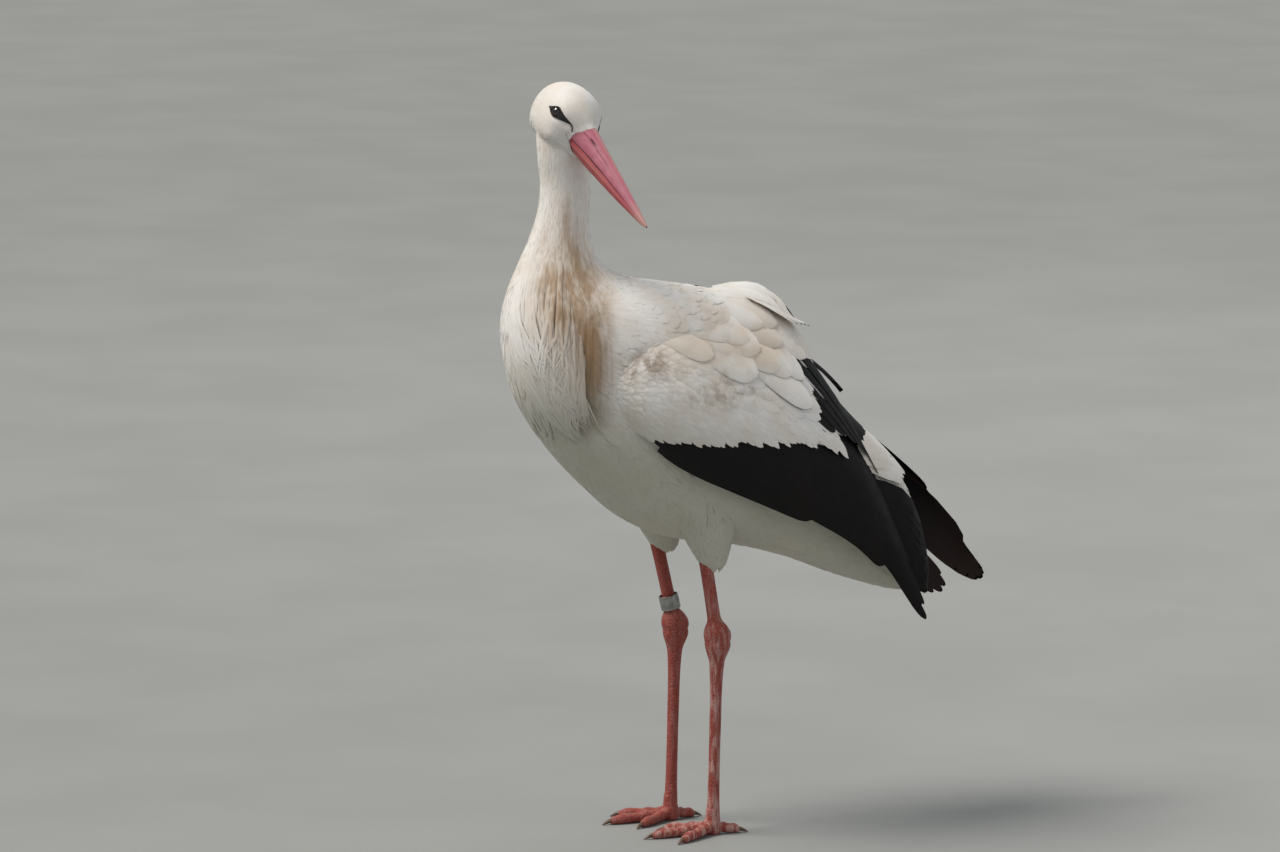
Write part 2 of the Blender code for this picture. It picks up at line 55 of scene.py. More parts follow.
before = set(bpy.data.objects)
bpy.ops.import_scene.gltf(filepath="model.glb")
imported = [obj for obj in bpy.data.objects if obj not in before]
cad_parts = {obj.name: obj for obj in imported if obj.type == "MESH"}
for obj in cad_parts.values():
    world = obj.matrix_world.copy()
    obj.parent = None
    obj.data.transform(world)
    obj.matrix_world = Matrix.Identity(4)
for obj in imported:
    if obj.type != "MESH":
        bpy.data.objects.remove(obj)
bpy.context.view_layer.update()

DONE = {"FINISHED"}
MM = 0.001
TURN = 2 * np.pi
DOWN = np.array((0.0, 0.0, -1.0))

# ------------------------------------------------- the bird's sections, in mm
# Neck, trunk and tail: dorsal point (y, z), ventral point (y, z), half width,
# and sideways shift of each section.
BODY_ROWS = (
    (-140, 830, -202, 826, 29, 5),
    (-136, 804, -200, 799, 29, 4),
    (-135, 772, -196, 767, 29, 2),
    (-137, 740, -199, 734, 32, 1),
    (-136, 712, -209, 703, 37, 0),
    (-131, 688, -221, 676, 45, 0),
    (-112, 667, -234, 645, 57, 0),
    (-78, 655, -242, 608, 72, 0),
    (-35, 647, -239, 563, 85, 0),
    (15, 636, -222, 512, 94, 0),
    (60, 616, -190, 462, 98, 0),
    (100, 580, -150, 418, 98, 0),
    (140, 534, -102, 376, 94, 0),
    (178, 488, -45, 349, 86, 0),
    (208, 458, 25, 337, 72, 0),
    (236, 430, 98, 318, 58, 0),
    (260, 400, 160, 293, 50, 0),
    (273, 366, 208, 276, 49, 0),
    (281, 330, 239, 267, 49, 0),
    (284, 302, 256, 265, 47, 0),
    (281, 284, 266, 266, 43, 0),
)
BODY_END = len(BODY_ROWS) - 1

# Head: distance ahead of its centre, top, bottom, half width.
HEAD_ROWS = (
    (-46, 3, -13, 8),
    (-42, 15, -26, 17.5),
    (-33, 26, -37, 26),
    (-20, 33.5, -41.5, 32.5),
    (-6, 37, -40, 35.5),
    (7, 36.5, -36, 36),
    (17, 33.5, -31, 33),
    (26, 29.5, -28, 26),
    (34, 25, -24.5, 18),
    (42, 21.5, -19, 12),
    (46, 19, -15, 8.5),
)
HEAD_END = len(HEAD_ROWS) - 1
HEAD_FULLNESS = 0.9
HEAD_CENTRE = np.array((12.0, -165.8, 845.0))
HEAD_TURN, HEAD_DROP, HEAD_ROLL = np.radians((106.6, 39.1, -8.0))

# Bill: distance ahead of the head's centre, ridge, mouth line, keel, half width.
BILL_ROWS = (
    (26, 22.0, -2.5, -18.0, 19.5),
    (34, 22.0, -2.0, -18.8, 18.4),
    (44, 21.4, -1.4, -19.0, 16.2),
    (60, 19.8, -0.6, -18.2, 13.5),
    (85, 17.2, 0.4, -15.2, 10.6),
    (110, 14.4, 1.4, -11.8, 8.4),
    (135, 11.5, 2.2, -8.0, 6.4),
    (158, 8.7, 2.8, -4.0, 4.5),
    (173, 6.4, 3.2, -1.0, 2.7),
    (182, 4.5, 3.6, 2.4, 0.9),
)
EYE_PLACE = (5.0, 27.0, 12.5)   # ahead of, beside and above the head's centre
EYE_RADIUS = 8.5

# Folded wings: edge lines from shoulder to tip as (x, y, z), for the edge along
# the back, the middle of the wing and its lower edge.
LEFT_WING = (
    ((34, -120, 634), (24, -25, 630), (20, 56, 620), (24, 118, 561), (32, 196, 439), (46, 245, 317)),
    ((70, -162, 572), (103, -92, 560), (109, -10, 532), (100, 84, 486), (78, 180, 404), (54, 262, 272)),
    ((84, -108, 484), (100, -64, 452), (103, 10, 416), (92, 110, 368), (70, 198, 318), (50, 272, 230)),
)
RIGHT_WING = (
    ((34, -120, 630), (24, -28, 620), (20, 60, 594), (26, 152, 509), (47, 300, 384), (40, 376, 286)),
    ((70, -162, 576), (103, -90, 566), (109, -2, 540), (100, 104, 494), (76, 226, 408), (40, 382, 258)),
    ((84, -108, 490), (100, -58, 464), (103, 20, 432), (92, 124, 388), (70, 228, 332), (40, 322, 236)),
)
WINGS = {"left": (LEFT_WING, 1), "right": (RIGHT_WING, -1)}

# Legs: sign of x, foot y, ankle y, y and z of the top of the bare shin.
STANCE, ANKLE_HEIGHT = 45.0, 231.0
LEGS = {"left": (1, 1.0, 6.5, -9.0, 328.0), "right": (-1, -15.5, -9.5, -34.0, 338.0)}
TARSUS_ROWS = ((6, 8.6), (27, 7.8), (45, 7.1), (90, 6.7), (140, 6.9), (175, 7.3), (198, 8.4),
               (207, 9.6), (214, 11.8), (222, 14.2), (228, 14.9), (233, 13.0))
SHIN_ROWS = ((3, 15.0), (12, 14.2), (18, 11.4), (22, 9.0), (30, 7.8), (60, 7.6), (90, 7.8),
             (130, 9.0))
TOES = {"inner": (-32.0, 55.0), "middle": (0.0, 74.0), "outer": (34.0, 60.0), "back": (172.0, 30.0)}
TOE_RADIUS, TOE_START, TOE_RISE = 6.0, 2.0, 5.0
TOE_ROWS = ((0.0, 1.25), (0.18, 1.02), (0.30, 0.97), (0.42, 1.08), (0.54, 0.95), (0.66, 0.96),
            (0.76, 1.0), (0.88, 0.9), (1.0, 0.66))
CLAW_LENGTH, CLAW_RISE = 11.0, 2.3
CLAW_ROWS = ((0.0, 0.46), (0.35, 0.40), (0.7, 0.26), (1.0, 0.08))
THIGH_ROWS = ((0.00, 10.5, 12.5, 9), (0.06, 15, 18, 9), (0.2, 22, 25, 9), (0.4, 29, 34, 9),
              (0.6, 35, 44, 8), (0.8, 38, 50, 6), (1.0, 36, 48, 4))
RING_OUTER, RING_WALL, RING_HEIGHT, RING_PLACE = 11.6, 1.2, 17.0, 23.5

# Studio, in metres: what the camera and lamps point at, in the bird's frame; the
# floor's reach either way; the lamps' places, and the size of the soft ones.
AIM = (-0.0934, -0.0346, 0.4648)
FLOOR_REACH = 30.0
LAMPS = {"key": (-0.6, -2.6, 4.2), "fill": (4.6, 1.4, 2.6), "rim": (-2.8, 2.4, 3.2)}
SOFT_LAMP = 3.0


# --------------------------------------------------------------- shape helpers
def stacked(*parts):
    """Arrays of like shape side by side along a new last axis."""
    return np.stack(np.broadcast_arrays(*parts), -1)


def grid(down, across):
    """Two rows of values as a grid: one changes from row to row, the other from column to column."""
    return np.meshgrid(down, across, indexing="ij")


def round_turn(count):
    """Evenly spaced angles of a full turn."""
    return np.linspace(0, TURN, count, endpoint=False)


def spline(rows, place):
    """Catmull-Rom curve through evenly spaced rows, straight beyond both ends.

    place is an array; 0 is the first row.  The result has one more axis.
    """
    rows = np.asarray(rows, float)
    last = len(rows) - 1
    inside = np.clip(place, 0, last)
    i = np.minimum(inside.astype(int), last - 1)
    f = (inside - i)[..., None]
    more = np.vstack([2 * rows[0] - rows[1], rows, 2 * rows[-1] - rows[-2]])
    a, b, c, d = more[i], more[i + 1], more[i + 2], more[i + 3]
    value = 0.5 * (2 * b + (c - a) * f + (2 * a - 5 * b + 4 * c - d) * f ** 2
                   + (3 * b - a - 3 * c + d) * f ** 3)
    slope = np.where((place < 0)[..., None], rows[1] - rows[0], rows[-1] - rows[-2])
    return value + (place - inside)[..., None] * slope


def even_rows(rows, count):
    """Uneven (place, value...) rows resampled smoothly at even places."""
    rows = np.asarray(rows, float)
    fine = spline(rows, np.linspace(0, len(rows) - 1, 400))
    places = np.linspace(rows[0, 0], rows[-1, 0], count)
    return np.stack([places] + [np.interp(places, fine[:, 0], fine[:, k])
                                for k in range(1, rows.shape[1])], -1)


def smooth(value):
    """0 below 0, 1 above 1, and the smooth step 3x^2 - 2x^3 between."""
    value = np.clip(value, 0, 1)
    return value * value * (3 - 2 * value)


def hump(value, centre, spread):
    """Bell curve exp(-((value - centre) / spread)^2)."""
    return np.exp(-((value - centre) / spread) ** 2)


def unit(vectors):
    """The same directions, one long."""
    return vectors / np.maximum(np.linalg.norm(vectors, axis=-1, keepdims=True), 1e-9)


# ------------------------------------------------------------ the bird's surfaces
def body_surface(t, a, h):
    """Neck, trunk and tail: section t, angle a from the dorsal line, height h.

    The point is centre + X (half width + h) sin a + U (half depth + h) cos a,
    where U points from the ventral to the dorsal point of the section.
    """
    dy, dz, vy, vz, half_width, side = np.moveaxis(spline(BODY_ROWS, t), -1, 0)
    uy, uz = (dy - vy) / 2, (dz - vz) / 2
    grown = 1 + h / np.hypot(uy, uz)
    return stacked(side + (half_width + h) * np.sin(a), (dy + vy) / 2 + uy * grown * np.cos(a),
                   (dz + vz) / 2 + uz * grown * np.cos(a))


def head_axes():
    """The head's ahead, right and up directions as rows."""
    ahead = np.array((np.sin(HEAD_TURN) * np.cos(HEAD_DROP),
                      -np.cos(HEAD_TURN) * np.cos(HEAD_DROP), -np.sin(HEAD_DROP)))
    up = unit(np.array((0, 0, 1)) - ahead * ahead[2])
    right = np.cross(ahead, up)
    return np.stack((ahead, right * np.cos(HEAD_ROLL) - up * np.sin(HEAD_ROLL),
                     up * np.cos(HEAD_ROLL) + right * np.sin(HEAD_ROLL)))


HEAD_AXES = head_axes()


def from_head(local):
    """Points given ahead of, right of and above the head's centre, in the bird's frame."""
    return HEAD_CENTRE + local @ HEAD_AXES


def face_relief(ahead, beside, above):
    """Height added to the head: a brow, a hollow for the eye, lores, and a full cheek."""
    side = smooth((np.abs(beside) - 8) / 12)
    brow = 1.3 * hump(ahead, 6, 13) * hump(above, 24, 6)
    hollow = -1.2 * hump(ahead, 7, 10) * hump(above, 14, 7)
    lores = -1.6 * hump(ahead, 23, 7) * hump(above, 12, 5)
    cheek = 2.4 * hump(ahead, 21, 11) * hump(above, -13, 8)
    return side * (brow + hollow + lores + cheek)


def head_local(s, a, h):
    """Head: section s, angle a from the crown, height h, with the face's relief.

    The section is half width * |sin a|^0.9 across and an even oval upwards.
    """
    distance, top, bottom, half_width = np.moveaxis(spline(HEAD_ROWS, s), -1, 0)
    across = np.sign(np.sin(a)) * np.abs(np.sin(a)) ** HEAD_FULLNESS
    middle, depth = (top + bottom) / 2, (top - bottom) / 2
    h = h + face_relief(distance, half_width * across, middle + depth * np.cos(a))
    return stacked(distance + h * (2 * s / HEAD_END - 1), (half_width + h) * across,
                   middle + (depth + h) * np.cos(a))


def head_surface(s, a, h):
    """The head in the bird's frame."""
    return from_head(head_local(s, a, h))


def wing_sheet(lines, p, q):
    """Sheet between the wing's three edge lines: a parabola in q joins them."""
    q = np.asarray(q)[..., None]
    top, middle, low = (spline(line, p * (len(line) - 1)) for line in lines)
    return top * (1 - q) * (1 - 2 * q) + middle * 4 * q * (1 - q) + low * q * (2 * q - 1)


def wing_surface(side):
    """Point of a folded wing: p from shoulder to tip, q from back to lower edge, height h."""
    lines, sign = WINGS[side]
    flip = np.array((sign, 1, 1))

    def surface(p, q, h):
        step = 0.01
        p, q = np.broadcast_arrays(p, q)
        along_p = wing_sheet(lines, p + step, q) - wing_sheet(lines, p - step, q)
        along_q = wing_sheet(lines, p, q + step) - wing_sheet(lines, p, q - step)
        normal = unit(np.cross(along_q, along_p))
        return (wing_sheet(lines, p, q) + normal * np.asarray(h)[..., None]) * flip

    return surface


def shin_line(side):
    """Foot of the leaning shin, at the ankle, and its direction."""
    sign, _, ankle_y, shin_y, shin_z = LEGS[side]
    base = np.array((sign * STANCE, ankle_y, ANKLE_HEIGHT))
    return base, unit(np.array((0, shin_y - ankle_y, shin_z - ANKLE_HEIGHT)))


def thigh_surface(side):
    """Feathered thigh: share u of its length from the bare shin upwards, angle a, height h."""
    sign, _, _, _, shin_z = LEGS[side]
    base, lean = shin_line(side)
    bare = shin_z - ANKLE_HEIGHT
    bottom, top = base + lean * (bare - 12), base + lean * (bare + 100)
    rows = even_rows(THIGH_ROWS, 24)

    def surface(u, a, h):
        share, half_x, half_y, back = np.moveaxis(spline(rows, u * (len(rows) - 1)), -1, 0)
        centre = bottom + (top - bottom) * share[..., None]
        return centre + stacked((half_x + h) * np.cos(a) - sign * 6 * share,
                                (half_y + h) * np.sin(a) + back, 0)

    return surface


def middle_shift():
    """Shift from the bird's frame to the model's, from the eye's centre, which both know."""
    low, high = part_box("eye_left")
    eye = from_head(np.array((EYE_PLACE[0], -EYE_PLACE[1], EYE_PLACE[2])))
    return (np.array(low) + np.array(high)) / 2 - eye * MM


MIDDLE = middle_shift()


# -------------------------------------------------------------------- settings
def size_of(name, description, default):
    """A length that a user may change, in metres."""
    return FloatProperty(name=name, description=description, default=default, unit="LENGTH")


def tint_of(name, description, default):
    """A colour that a user may change, as sRGB hex."""
    return StringProperty(name=name, description=description + ", sRGB hex", default=default)


class StorkCoat(PropertyGroup):
    head_feather: size_of("Head feather", "Length of a feather on the crown", 0.0085)
    neck_feather: size_of("Neck feather", "Length of a feather on the neck", 0.034)
    plume: size_of("Plume", "Length of the plumes at the foot of the neck", 0.082)
    breast_feather: size_of("Breast feather", "Length of a feather on breast and belly", 0.027)
    back_feather: size_of("Back feather", "Length of a feather on the back", 0.036)
    thigh_feather: size_of("Thigh feather", "Length of a feather on the thighs", 0.022)
    covert: size_of("Lesser covert", "Length of the smallest wing coverts", 0.019)
    greater_covert: size_of("Greater covert", "Length of the longest wing coverts", 0.078)
    seed: IntProperty(name="Seed", description="Start of the random numbers that ruffle the coat",
                      default=7)


class StorkHead(PropertyGroup):
    eye_opening: size_of("Eye opening", "Half the width between the lids", 0.0056)
    iris: size_of("Iris", "Radius of the iris", 0.0052)
    pupil: size_of("Pupil", "Radius of the pupil", 0.0027)
    lid: size_of("Lid", "Thickness of the lids", 0.0008)
    nostril: size_of("Nostril", "Length of the nostril slit", 0.011)


class StorkLegs(PropertyGroup):
    scale_size: size_of("Scale", "Width of one leg scale", 0.0025)
    heel: size_of("Heel", "How far the ankle bulges to the rear", 0.0022)


class StorkColours(PropertyGroup):
    white: tint_of("White", "Clean plumage", "#FBF8F4")
    cream: tint_of("Cream", "Warm tint of the neck and breast", "#EDDCC8")
    # Tan stains the neck; the same colour paints shadow in the hollow behind the neck's plumes.
    tan: tint_of("Tan", "Stained streaks down the neck", "#A57F58")
    # Soot soils the wing's shoulder; the same colour paints shadow on the breast under the neck's plumes.
    soot: tint_of("Soot", "Soiled wing shoulder", "#9A8674")
    # Painted shade of the belly and the lower wing.
    shade: tint_of("Shade", "Belly tint", "#B4B3A2")
    black: tint_of("Black", "Flight feathers", "#0A090A")
    worn: tint_of("Worn", "Worn tips of the flight feathers", "#2A1712")
    bill: tint_of("Bill", "Sides of the upper bill", "#B36074")
    bill_low: tint_of("Lower bill", "Lower bill", "#B2484F")
    # Horn pales the bill's tip; along the ridge the same colour is a painted highlight.
    horn: tint_of("Horn", "Bill tip and ridge", "#C79E92")
    leg: tint_of("Leg", "Leg scales", "#9C3C2F")
    chalk: tint_of("Chalk", "White dust on the legs", "#C9A69C")
    face: tint_of("Face", "Bare skin round the eye", "#141214")
    ring: tint_of("Ring", "Leg ring", "#A5A6A2")
    floor: tint_of("Floor", "Studio floor", "#949694")


class StorkStage(PropertyGroup):
    distance: size_of("Distance", "Camera to the bird", 7.5)
    lens: FloatProperty(name="Lens", description="Focal length in millimetres on a 36 mm sensor",
                        default=179.3, unit="CAMERA")
    azimuth: FloatProperty(name="Azimuth", description="Camera bearing, in degrees from the bird's front",
                           default=68.0)
    elevation: FloatProperty(name="Elevation", description="Camera height above level, in degrees",
                             default=9.0)
    key: FloatProperty(name="Key", description="Strength of the key light in watts for each square metre",
                       default=2.9, min=0)
    fill: FloatProperty(name="Fill", description="Power of each fill light in watts", default=28.0, min=0)
    sky: FloatProperty(name="Sky", description="Strength of the even light all round", default=0.42, min=0)


def length(group, name):
    """A size from the settings, in millimetres."""
    return getattr(getattr(bpy.context.scene, group), name) / MM


def dice(number):
    """Random numbers of one piece: its own number keeps them the same in every run."""
    return np.random.default_rng(bpy.context.scene.stork_coat.seed + number)


# --------------------------------------------------------------- making meshes
def linear(hex_colour):
    """Linear RGBA of an sRGB hex colour."""
    parts = [int(hex_colour[i:i + 2], 16) / 255 for i in (1, 3, 5)]
    return tuple(c / 12.92 if c <= 0.04045 else ((c + 0.055) / 1.055) ** 2.4 for c in parts) + (1.0,)


def colour(name):
    """Linear RGBA of one of the settings' colours."""
    return linear(getattr(bpy.context.scene.stork_colours, name))


def add_mesh(name, points, quads, tris):
    """A mesh object from points in the bird's millimetres and faces as index arrays."""
    mesh = bpy.data.meshes.new(name)
    mesh.vertices.add(len(points))
    mesh.vertices.foreach_set("co", (np.asarray(points) * MM + MIDDLE).astype(np.float32).ravel())
    corners = np.concatenate((quads.ravel(), tris.ravel())).astype(np.int32)
    sizes = np.concatenate((np.full(len(quads), 4), np.full(len(tris), 3)))
    mesh.loops.add(len(corners))
    mesh.loops.foreach_set("vertex_index", corners)
    mesh.polygons.add(len(sizes))
    mesh.polygons.foreach_set("loop_start", np.cumsum(sizes) - sizes)
    mesh.update(calc_edges=True)
    if mesh.validate():
        raise RuntimeError(name + " has faces that make no mesh")
    mesh.shade_smooth()
    obj = bpy.data.objects.new(name, mesh)
    bpy.context.scene.collection.objects.link(obj)
    return obj


def add_uv(obj, name, uv):
    """A UV map from one (u, v) for each point."""
    mesh = obj.data
    corner = np.empty(len(mesh.loops), np.int32)
    mesh.loops.foreach_get("vertex_index", corner)
    layer = mesh.uv_layers.new(name=name)
    layer.data.foreach_set("uv", np.asarray(uv, np.float32)[corner].ravel())


def finish_piece(obj, material, nodes):
    """Gives a piece its material, the one body, and the solids it stands for."""
    obj.data.materials.append(material)
    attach(obj, "root")
    if nodes:
        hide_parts(*nodes)
    return obj


def grid_faces(rows, columns, ring=False):
    """Quads of a grid of points, row by row, whose last column joins the first, and in
    a ring the last row joins the first too."""
    r, c = grid(np.arange(rows if ring else rows - 1), np.arange(columns))
    here, beside = r * columns + c, r * columns + (c + 1) % columns
    quads = stacked(here, beside, beside + columns, here + columns)
    return quads.reshape(-1, 4) % (rows * columns)


def facing_out(points, quads, tris):
    """The same faces, all of them turned round if the volume they enclose is negative."""
    middle = points - points.mean(0)
    halves = np.concatenate((quads[:, :3], quads[:, [0, 2, 3]], tris))
    volume = np.einsum("ij,ij->i", middle[halves[:, 0]],
                       np.cross(middle[halves[:, 1]], middle[halves[:, 2]])).sum()
    return (points, quads, tris) if volume > 0 else (points, quads[:, ::-1], tris[:, ::-1])


def closed_tube(rings):
    """Points and faces of a tube of rings, an array (rows, points, 3), with a centre
    point that closes each end."""
    rows, count = rings.shape[:2]
    points = np.concatenate((rings.reshape(-1, 3), rings[0].mean(0)[None], rings[-1].mean(0)[None]))
    k, first = np.arange(count), rows * count
    here, beside = k + first - count, (k + 1) % count + first - count
    tris = np.concatenate((stacked(first, (k + 1) % count, k), stacked(first + 1, here, beside)))
    return facing_out(points, grid_faces(rows, count), tris)


def closed_ring(loops):
    """Points and faces of a ring of closed loops, an array (loops, points, 3), the last
    one joined to the first."""
    quads = grid_faces(*loops.shape[:2], ring=True)
    return facing_out(loops.reshape(-1, 3), quads, np.zeros((0, 3), int))


def joined(parts):
    """Several (points, quads, tris) as one."""
    points, quads, tris, start = [], [], [], 0
    for some_points, some_quads, some_tris in parts:
        points.append(some_points)
        quads.append(some_quads + start)
        tris.append(some_tris + start)
        start += len(some_points)
    return np.concatenate(points), np.concatenate(quads), np.concatenate(tris)


def tube_rings(path, radii, sides, axis=None, rear=0.0):
    """Rings round a path: centre + radius (S cos a + U sin a), square to the path or to one axis.

    rear adds to the radius where a ring faces the bird's rear.
    """
    path, radii = np.asarray(path, float), np.asarray(radii, float)
    ahead = unit(np.gradient(path, axis=0)) if axis is None else np.broadcast_to(axis, path.shape)
    side = unit(np.cross(ahead, (0, 1, 0) if axis is None else (0, 0, 1)))
    up = np.cross(side, ahead)
    a = round_turn(sides)[None, :, None]
    around = side[:, None] * np.cos(a) + up[:, None] * np.sin(a)
    swell = radii[:, None] + np.asarray(rear)[..., None] * np.clip(around[..., 1], 0, 1) ** 2
    return path[:, None] + around * swell[..., None]


# -------------------------------------------------------------------- feathers
def template(columns, rows, outline, crown, ragged=0.0):
    """A vane's pattern: places across (-1 to 1) and along (0 to 1), its half width
    along it, the height of its crown across it, and how ragged its end is."""
    columns, rows = np.asarray(columns, float), np.asarray(rows, float)
    teeth = np.where(np.arange(len(columns)) % 2 == 0, -1.0, 1.0)
    return {"x": columns, "y": rows, "width": np.interp(rows, *np.transpose(outline)),
            "crown": np.asarray(crown, float),
            "ragged": ragged * smooth((rows - 0.55) / 0.45)[:, None] * teeth[None, :]}


# Fine pointed tuft, soft body feather, round feather, and long flight feather.
TUFT = template((-1, 0, 1), (0, 0.35, 0.7, 1), ((0, 0.6), (0.35, 1), (0.7, 0.8), (1, 0.12)), (0, 1, 0))
SOFT = template((-1, -0.4, 0.4, 1), (0, 0.3, 0.6, 0.82, 1),
                ((0, 0.5), (0.3, 0.9), (0.6, 1), (0.82, 0.8), (1, 0.3)), (0, 1, 1, 0), 0.03)
ROUND = template((-1, -0.55, 0, 0.55, 1), (0, 0.3, 0.55, 0.75, 0.88, 0.96, 1),
                 ((0, 0.45), (0.3, 0.85), (0.55, 1), (0.75, 0.97), (0.88, 0.78), (0.96, 0.5), (1, 0.2)),
                 (0, 0.75, 1, 0.75, 0), 0.018)
PLUME = template((-1, 0, 1), (0, 0.15, 0.3, 0.45, 0.6, 0.75, 0.9, 1),
                 ((0, 0.5), (0.2, 0.95), (0.5, 1), (0.75, 0.7), (0.9, 0.35), (1, 0.06)), (0, 1, 0))
FLIGHT = template((-1, -0.5, -0.09, 0, 0.09, 0.5, 1),
                  (0, 0.1, 0.2, 0.3, 0.4, 0.5, 0.6, 0.7, 0.8, 0.88, 0.93, 0.96, 0.98, 0.993, 1),
                  ((0, 0.5), (0.15, 0.85), (0.4, 1), (0.8, 1), (0.88, 0.99), (0.93, 0.95), (0.96, 0.85),
                   (0.98, 0.68), (0.993, 0.44), (1, 0.16)),
                  (0, 0.7, 0.75, 1, 0.75, 0.7, 0))


def tangents(surface, u, v, h):
    """Point, its change with u and with v, and the outward direction."""
    step = 1e-3
    here = surface(u, v, h)
    return (here, (surface(u + step, v, h) - here) / step, (surface(u, v + step, h) - here) / step,
            surface(u, v, h + 1.0) - here)


def per_mm(along_u, along_v, direction):
    """Changes of u and v that move a point one millimetre in a tangent direction.

    Solves the two by two system of dot products at every point at once.
    """
    uu, uv, vv = (along_u ** 2).sum(-1), (along_u * along_v).sum(-1), (along_v ** 2).sum(-1)
    du, dv = (along_u * direction).sum(-1), (along_v * direction).sum(-1)
    area = np.maximum(uu * vv - uv * uv, 1e-9)
    return (du * vv - dv * uv) / area, (dv * uu - du * uv) / area


def comb(surface, u, v, direction, lengths, rows, h=0.0):
    """Centre lines of feathers: from each root, steps over the surface in the
    tangent nearest to its direction."""
    us, vs = [u], [v]
    height = np.zeros_like(u) + h
    for k in range(1, len(rows)):
        _, along_u, along_v, out = tangents(surface, us[-1], vs[-1], height)
        out = unit(out)
        tangent = unit(direction - out * (direction * out).sum(-1, keepdims=True))
        du, dv = per_mm(along_u, along_v, tangent)
        step = lengths * (rows[k] - rows[k - 1])
        us.append(us[-1] + du * step)
        vs.append(vs[-1] + dv * step)
    return np.stack(us, 1), np.stack(vs, 1)


def body_bake(t, a):
    """Place of a root on the unwrapped trunk: along it and round it."""
    return stacked(0.03 + 0.94 * (t + 0.5) / (BODY_END + 1), a % TURN / TURN)


def vane_faces(rows, columns):
    """Quads and tris of one closed vane, and which quads lie under it: quads all over
    its upper side, one for each row below, and tris that close both ends."""
    left = np.arange(rows - 1) * columns
    right = left + columns - 1
    here = (left[:, None] + np.arange(columns - 1)).ravel()
    top = stacked(here, here + columns, here + columns + 1, here + 1)
    under = stacked(left, right, right + columns, left + columns)
    k, end = np.arange(1, columns - 1), (rows - 1) * columns
    tris = np.concatenate((stacked(0, k, k + 1), stacked(end, k + 1 + end, k + end)))
    return np.concatenate((top, under)), tris, np.repeat((False, True), (len(top), len(under)))


